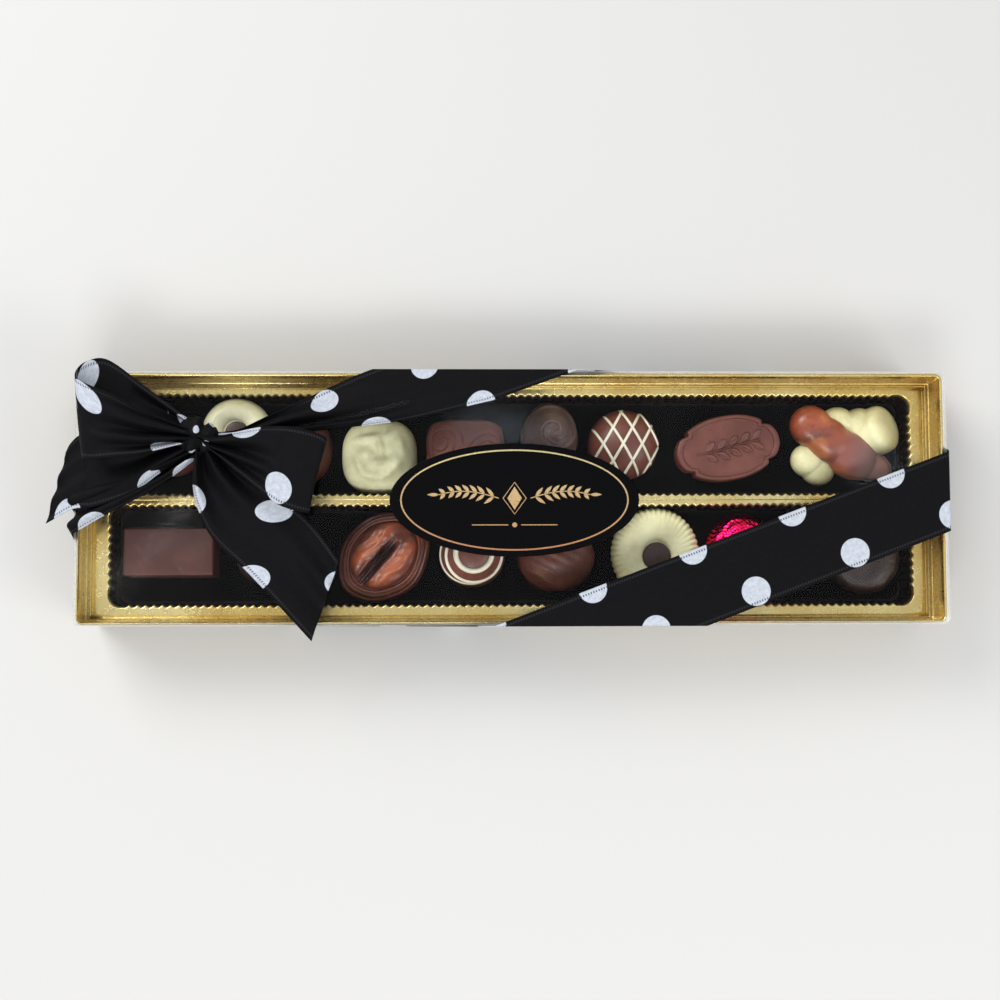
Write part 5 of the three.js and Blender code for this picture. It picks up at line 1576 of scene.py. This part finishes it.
TAIL_RIGHT = (
    [(-108.5, 20, 34.2), (-109.5, 11.9, 33.6), (-109.9, 3.4, 32.8), (-107.9, -5.1, 32), (-102.8, -14.7, 31.8),
     (-90.4, -26.6, 31.7), (-69.4, -49.2, 31.5)],
    [(-105.8, 20, 33.8), (-102.5, 16.1, 33.2), (-94.1, 9.3, 32.4), (-83.6, 2.3, 31.95), (-74.4, -4.3, 31.8),
     (-67.5, -11.2, 31.7), (-60.1, -21.5, 31.5)],
)


def sag(amount):
    """A crown for cloth(): bows the width, most half way along."""
    return lambda share: amount * np.sin(np.pi * share)


# Where a piece's print jumps on, in millimetres along it: in the knot and round the inside of a loop.
SKIPS = {
    "ribbon_loop_left": [(12.5, -4.0), (50.5, -12.0), (85.0, -6.0)],
    "ribbon_tail_left": [(27.0, -6.5)],
    "ribbon_tail_right": [(45.0, -3.0)],
}
bow = [
    ("ribbon_loop_left", LOOP_LEFT, 150, -19.4, False, 2.5, 0.4, -0.6),
    ("ribbon_loop_right", LOOP_RIGHT, 150, 17.9, True, 2.5, 1.2, 0.5),
    ("ribbon_tail_left", TAIL_LEFT, 90, 22.0, True, 2.5, 0.8, 0.4),
    ("ribbon_tail_right", TAIL_RIGHT, 90, 21.0, True, 2.0, 0.2, 0.5),
]
for node, (one, other), count, shift, flip, pleats, phase, rise in bow:
    edges = through(one, count), through(other, count)
    held, rests = ("gathered", ["ribbon_knot"]) if "loop" in node else ("laid", ["clear_lid"])
    shape = dict(pleats=pleats, phase=phase, crown=sag(rise), skips=SKIPS.get(node, ()))
    ribbon_piece(node + "_cloth", *edges, held, rests, [node], shift=shift, flip=flip, **shape)


# %% Knot
def knot_rings():
    """A pillow turned about the bow's own line, with creases over it and a deep one off its middle."""
    x0, y0, low, high = middle_of("ribbon_knot")
    rings, angle = 46, np.linspace(0, 2 * np.pi, 96, endpoint=False)[None]
    lift = np.linspace(-np.pi / 2, np.pi / 2, rings + 2)[1:-1, None]
    x = 7.0 * np.sign(np.sin(lift)) * np.abs(np.sin(lift)) ** 0.85 + 0 * angle
    waist = np.cos(lift) ** 0.8
    crease = 1.5 * ridge(x - 1.2, 0.9) + 0.35 * ridge(x + 3.2, 0.6) + 0.25 * ridge(x - 4.6, 0.5)
    swell = 1 - 0.25 * crease - 0.12 * np.clip(x - 1.2, 0, 1)
    y = 6.4 * waist * swell * np.cos(angle)
    z = 3.9 * waist * swell * np.sin(angle)
    uv = np.stack([(angle - 1.3) * 22 + DOT_SHIFT + 0 * x, 5 + (x + 0.4) * 5.0], -1)
    c, s = np.cos(-0.25), np.sin(-0.25)
    grid = np.stack([x0 + c * x - s * y, y0 + s * x + c * y, (low + high) / 2 + z], -1)
    return grid, uv


knot_grid, knot_uv = knot_rings()
points, faces = round_body(knot_grid)
flat = np.concatenate([knot_uv.reshape(-1, 2), knot_uv[:1].mean(1), knot_uv[-1:].mean(1)])
knot = new_piece("ribbon_knot_cloth", points, faces, SATIN, flat)
stands_for(knot, "ribbon_satin", "ribbon_knot")
print("knot:", len(faces), "faces")

# %% [markdown]
# ## Floor, light and camera
# A pale floor under the box. The sky is an even pale grey, so that the gold has something to mirror. Three
# wide lamps shape the chocolates: one at the back left, one at the front right and one in front. Four small
# ones hang where the lid mirrors them as two thin streaks and two soft patches.

# %% Floor
def pale_floor():
    """A matt square, six metres wide."""
    material, tree, shader = new_material("pale floor")
    fill(tree, shader, {"Base Color": rgb(186, 185, 182), "Roughness": 0.85})
    mesh = bpy.data.meshes.new("floor")
    mesh.from_pydata([(-3, -3, 0), (3, -3, 0), (3, 3, 0), (-3, 3, 0)], [], [(0, 1, 2, 3)])
    mesh.materials.append(material)
    floor = in_scene("floor", mesh)


pale_floor()

# %% Light
def flat_lamp(name, place, turn, size, watts, colour=(1, 1, 1)):
    """A rectangular lamp at a place in millimetres, with its turn and its size in metres."""
    lamp = bpy.data.lights.new(name, "AREA")
    lamp.shape, lamp.size, lamp.size_y, lamp.energy, lamp.color = "RECTANGLE", *size, watts, colour
    carrier = in_scene(name, lamp)
    carrier.location = metres([place])[0]
    carrier.rotation_euler = turn


def wide_lamp(name, place, width, height, watts):
    """A lamp aimed at the floor under the lid's middle. Its size is in millimetres."""
    x, y, z = place
    turn = (np.arctan2(np.hypot(x, y), z), 0.0, np.arctan2(x, -y))
    flat_lamp(name, place, turn, (width * MM, height * MM), watts)


EYE = np.array([-17.25, -34.98, 528.46])
LAMP_HEIGHT = 1000.0


def mirrored_lamp(name, start, end, width, glow, colour=(1, 1, 1)):
    """A lamp that the lid's top shows to the camera as a bar from start to end, in millimetres on the lid.

    The camera's mirror image lies as far below the lid's top as the camera is above it. A line from that
    image through a point on the lid goes on to the lamp. glow is how bright the lamp's face is.
    """
    image = EYE * [1, 1, -1] + [0, 0, 2 * LID_TOP]
    points = np.column_stack([[start, end], [LID_TOP, LID_TOP]])
    reach = (LAMP_HEIGHT - image[2]) / (LID_TOP - image[2])
    ends = image + (points - image) * reach
    along = ends[1] - ends[0]
    size = np.hypot(along[0], along[1]) * MM, width * reach * MM
    turn = (0.0, 0.0, np.arctan2(along[1], along[0]))
    flat_lamp(name, ends.mean(0), turn, size, glow * np.pi * size[0] * size[1], colour)


world = bpy.data.worlds.new("studio")
world.use_nodes = True
sky = world.node_tree.nodes["Background"]
fill(world.node_tree, sky, {"Color": (0.94, 0.96, 1.0, 1.0), "Strength": 0.8})
bpy.context.scene.world = world
wide_lamp("window", (-700, 650, 750), 700, 500, 11.0)
wide_lamp("fill", (800, -500, 700), 600, 500, 6.0)
wide_lamp("front", (-150, -700, 850), 500, 300, 5.0)
mirrored_lamp("streak", (-111, -2), (-136, -31), 2.0, 18.0)
mirrored_lamp("second streak", (-104, -12), (-114, -25), 1.5, 11.0)
mirrored_lamp("pale patch", (-22, 24), (6, 23), 7.0, 9.0, (0.75, 0.85, 1.0))
mirrored_lamp("blue patch", (114, 19), (130, 7), 12.0, 8.0, (0.75, 0.85, 1.0))
bpy.context.scene.view_settings.view_transform = "Standard"

# %% Camera
LENS, SENSOR = 52.164, 36.0
CAMERA_TURN = (3.907, -1.395, -0.157)

camera = bpy.data.cameras.new("camera")
camera.lens, camera.sensor_width = LENS, SENSOR
camera.clip_start, camera.clip_end = 0.01, 20.0
viewer = in_scene("camera", camera)
viewer.location = metres([EYE])[0]
viewer.rotation_euler = np.radians(CAMERA_TURN)
bpy.context.scene.camera = viewer
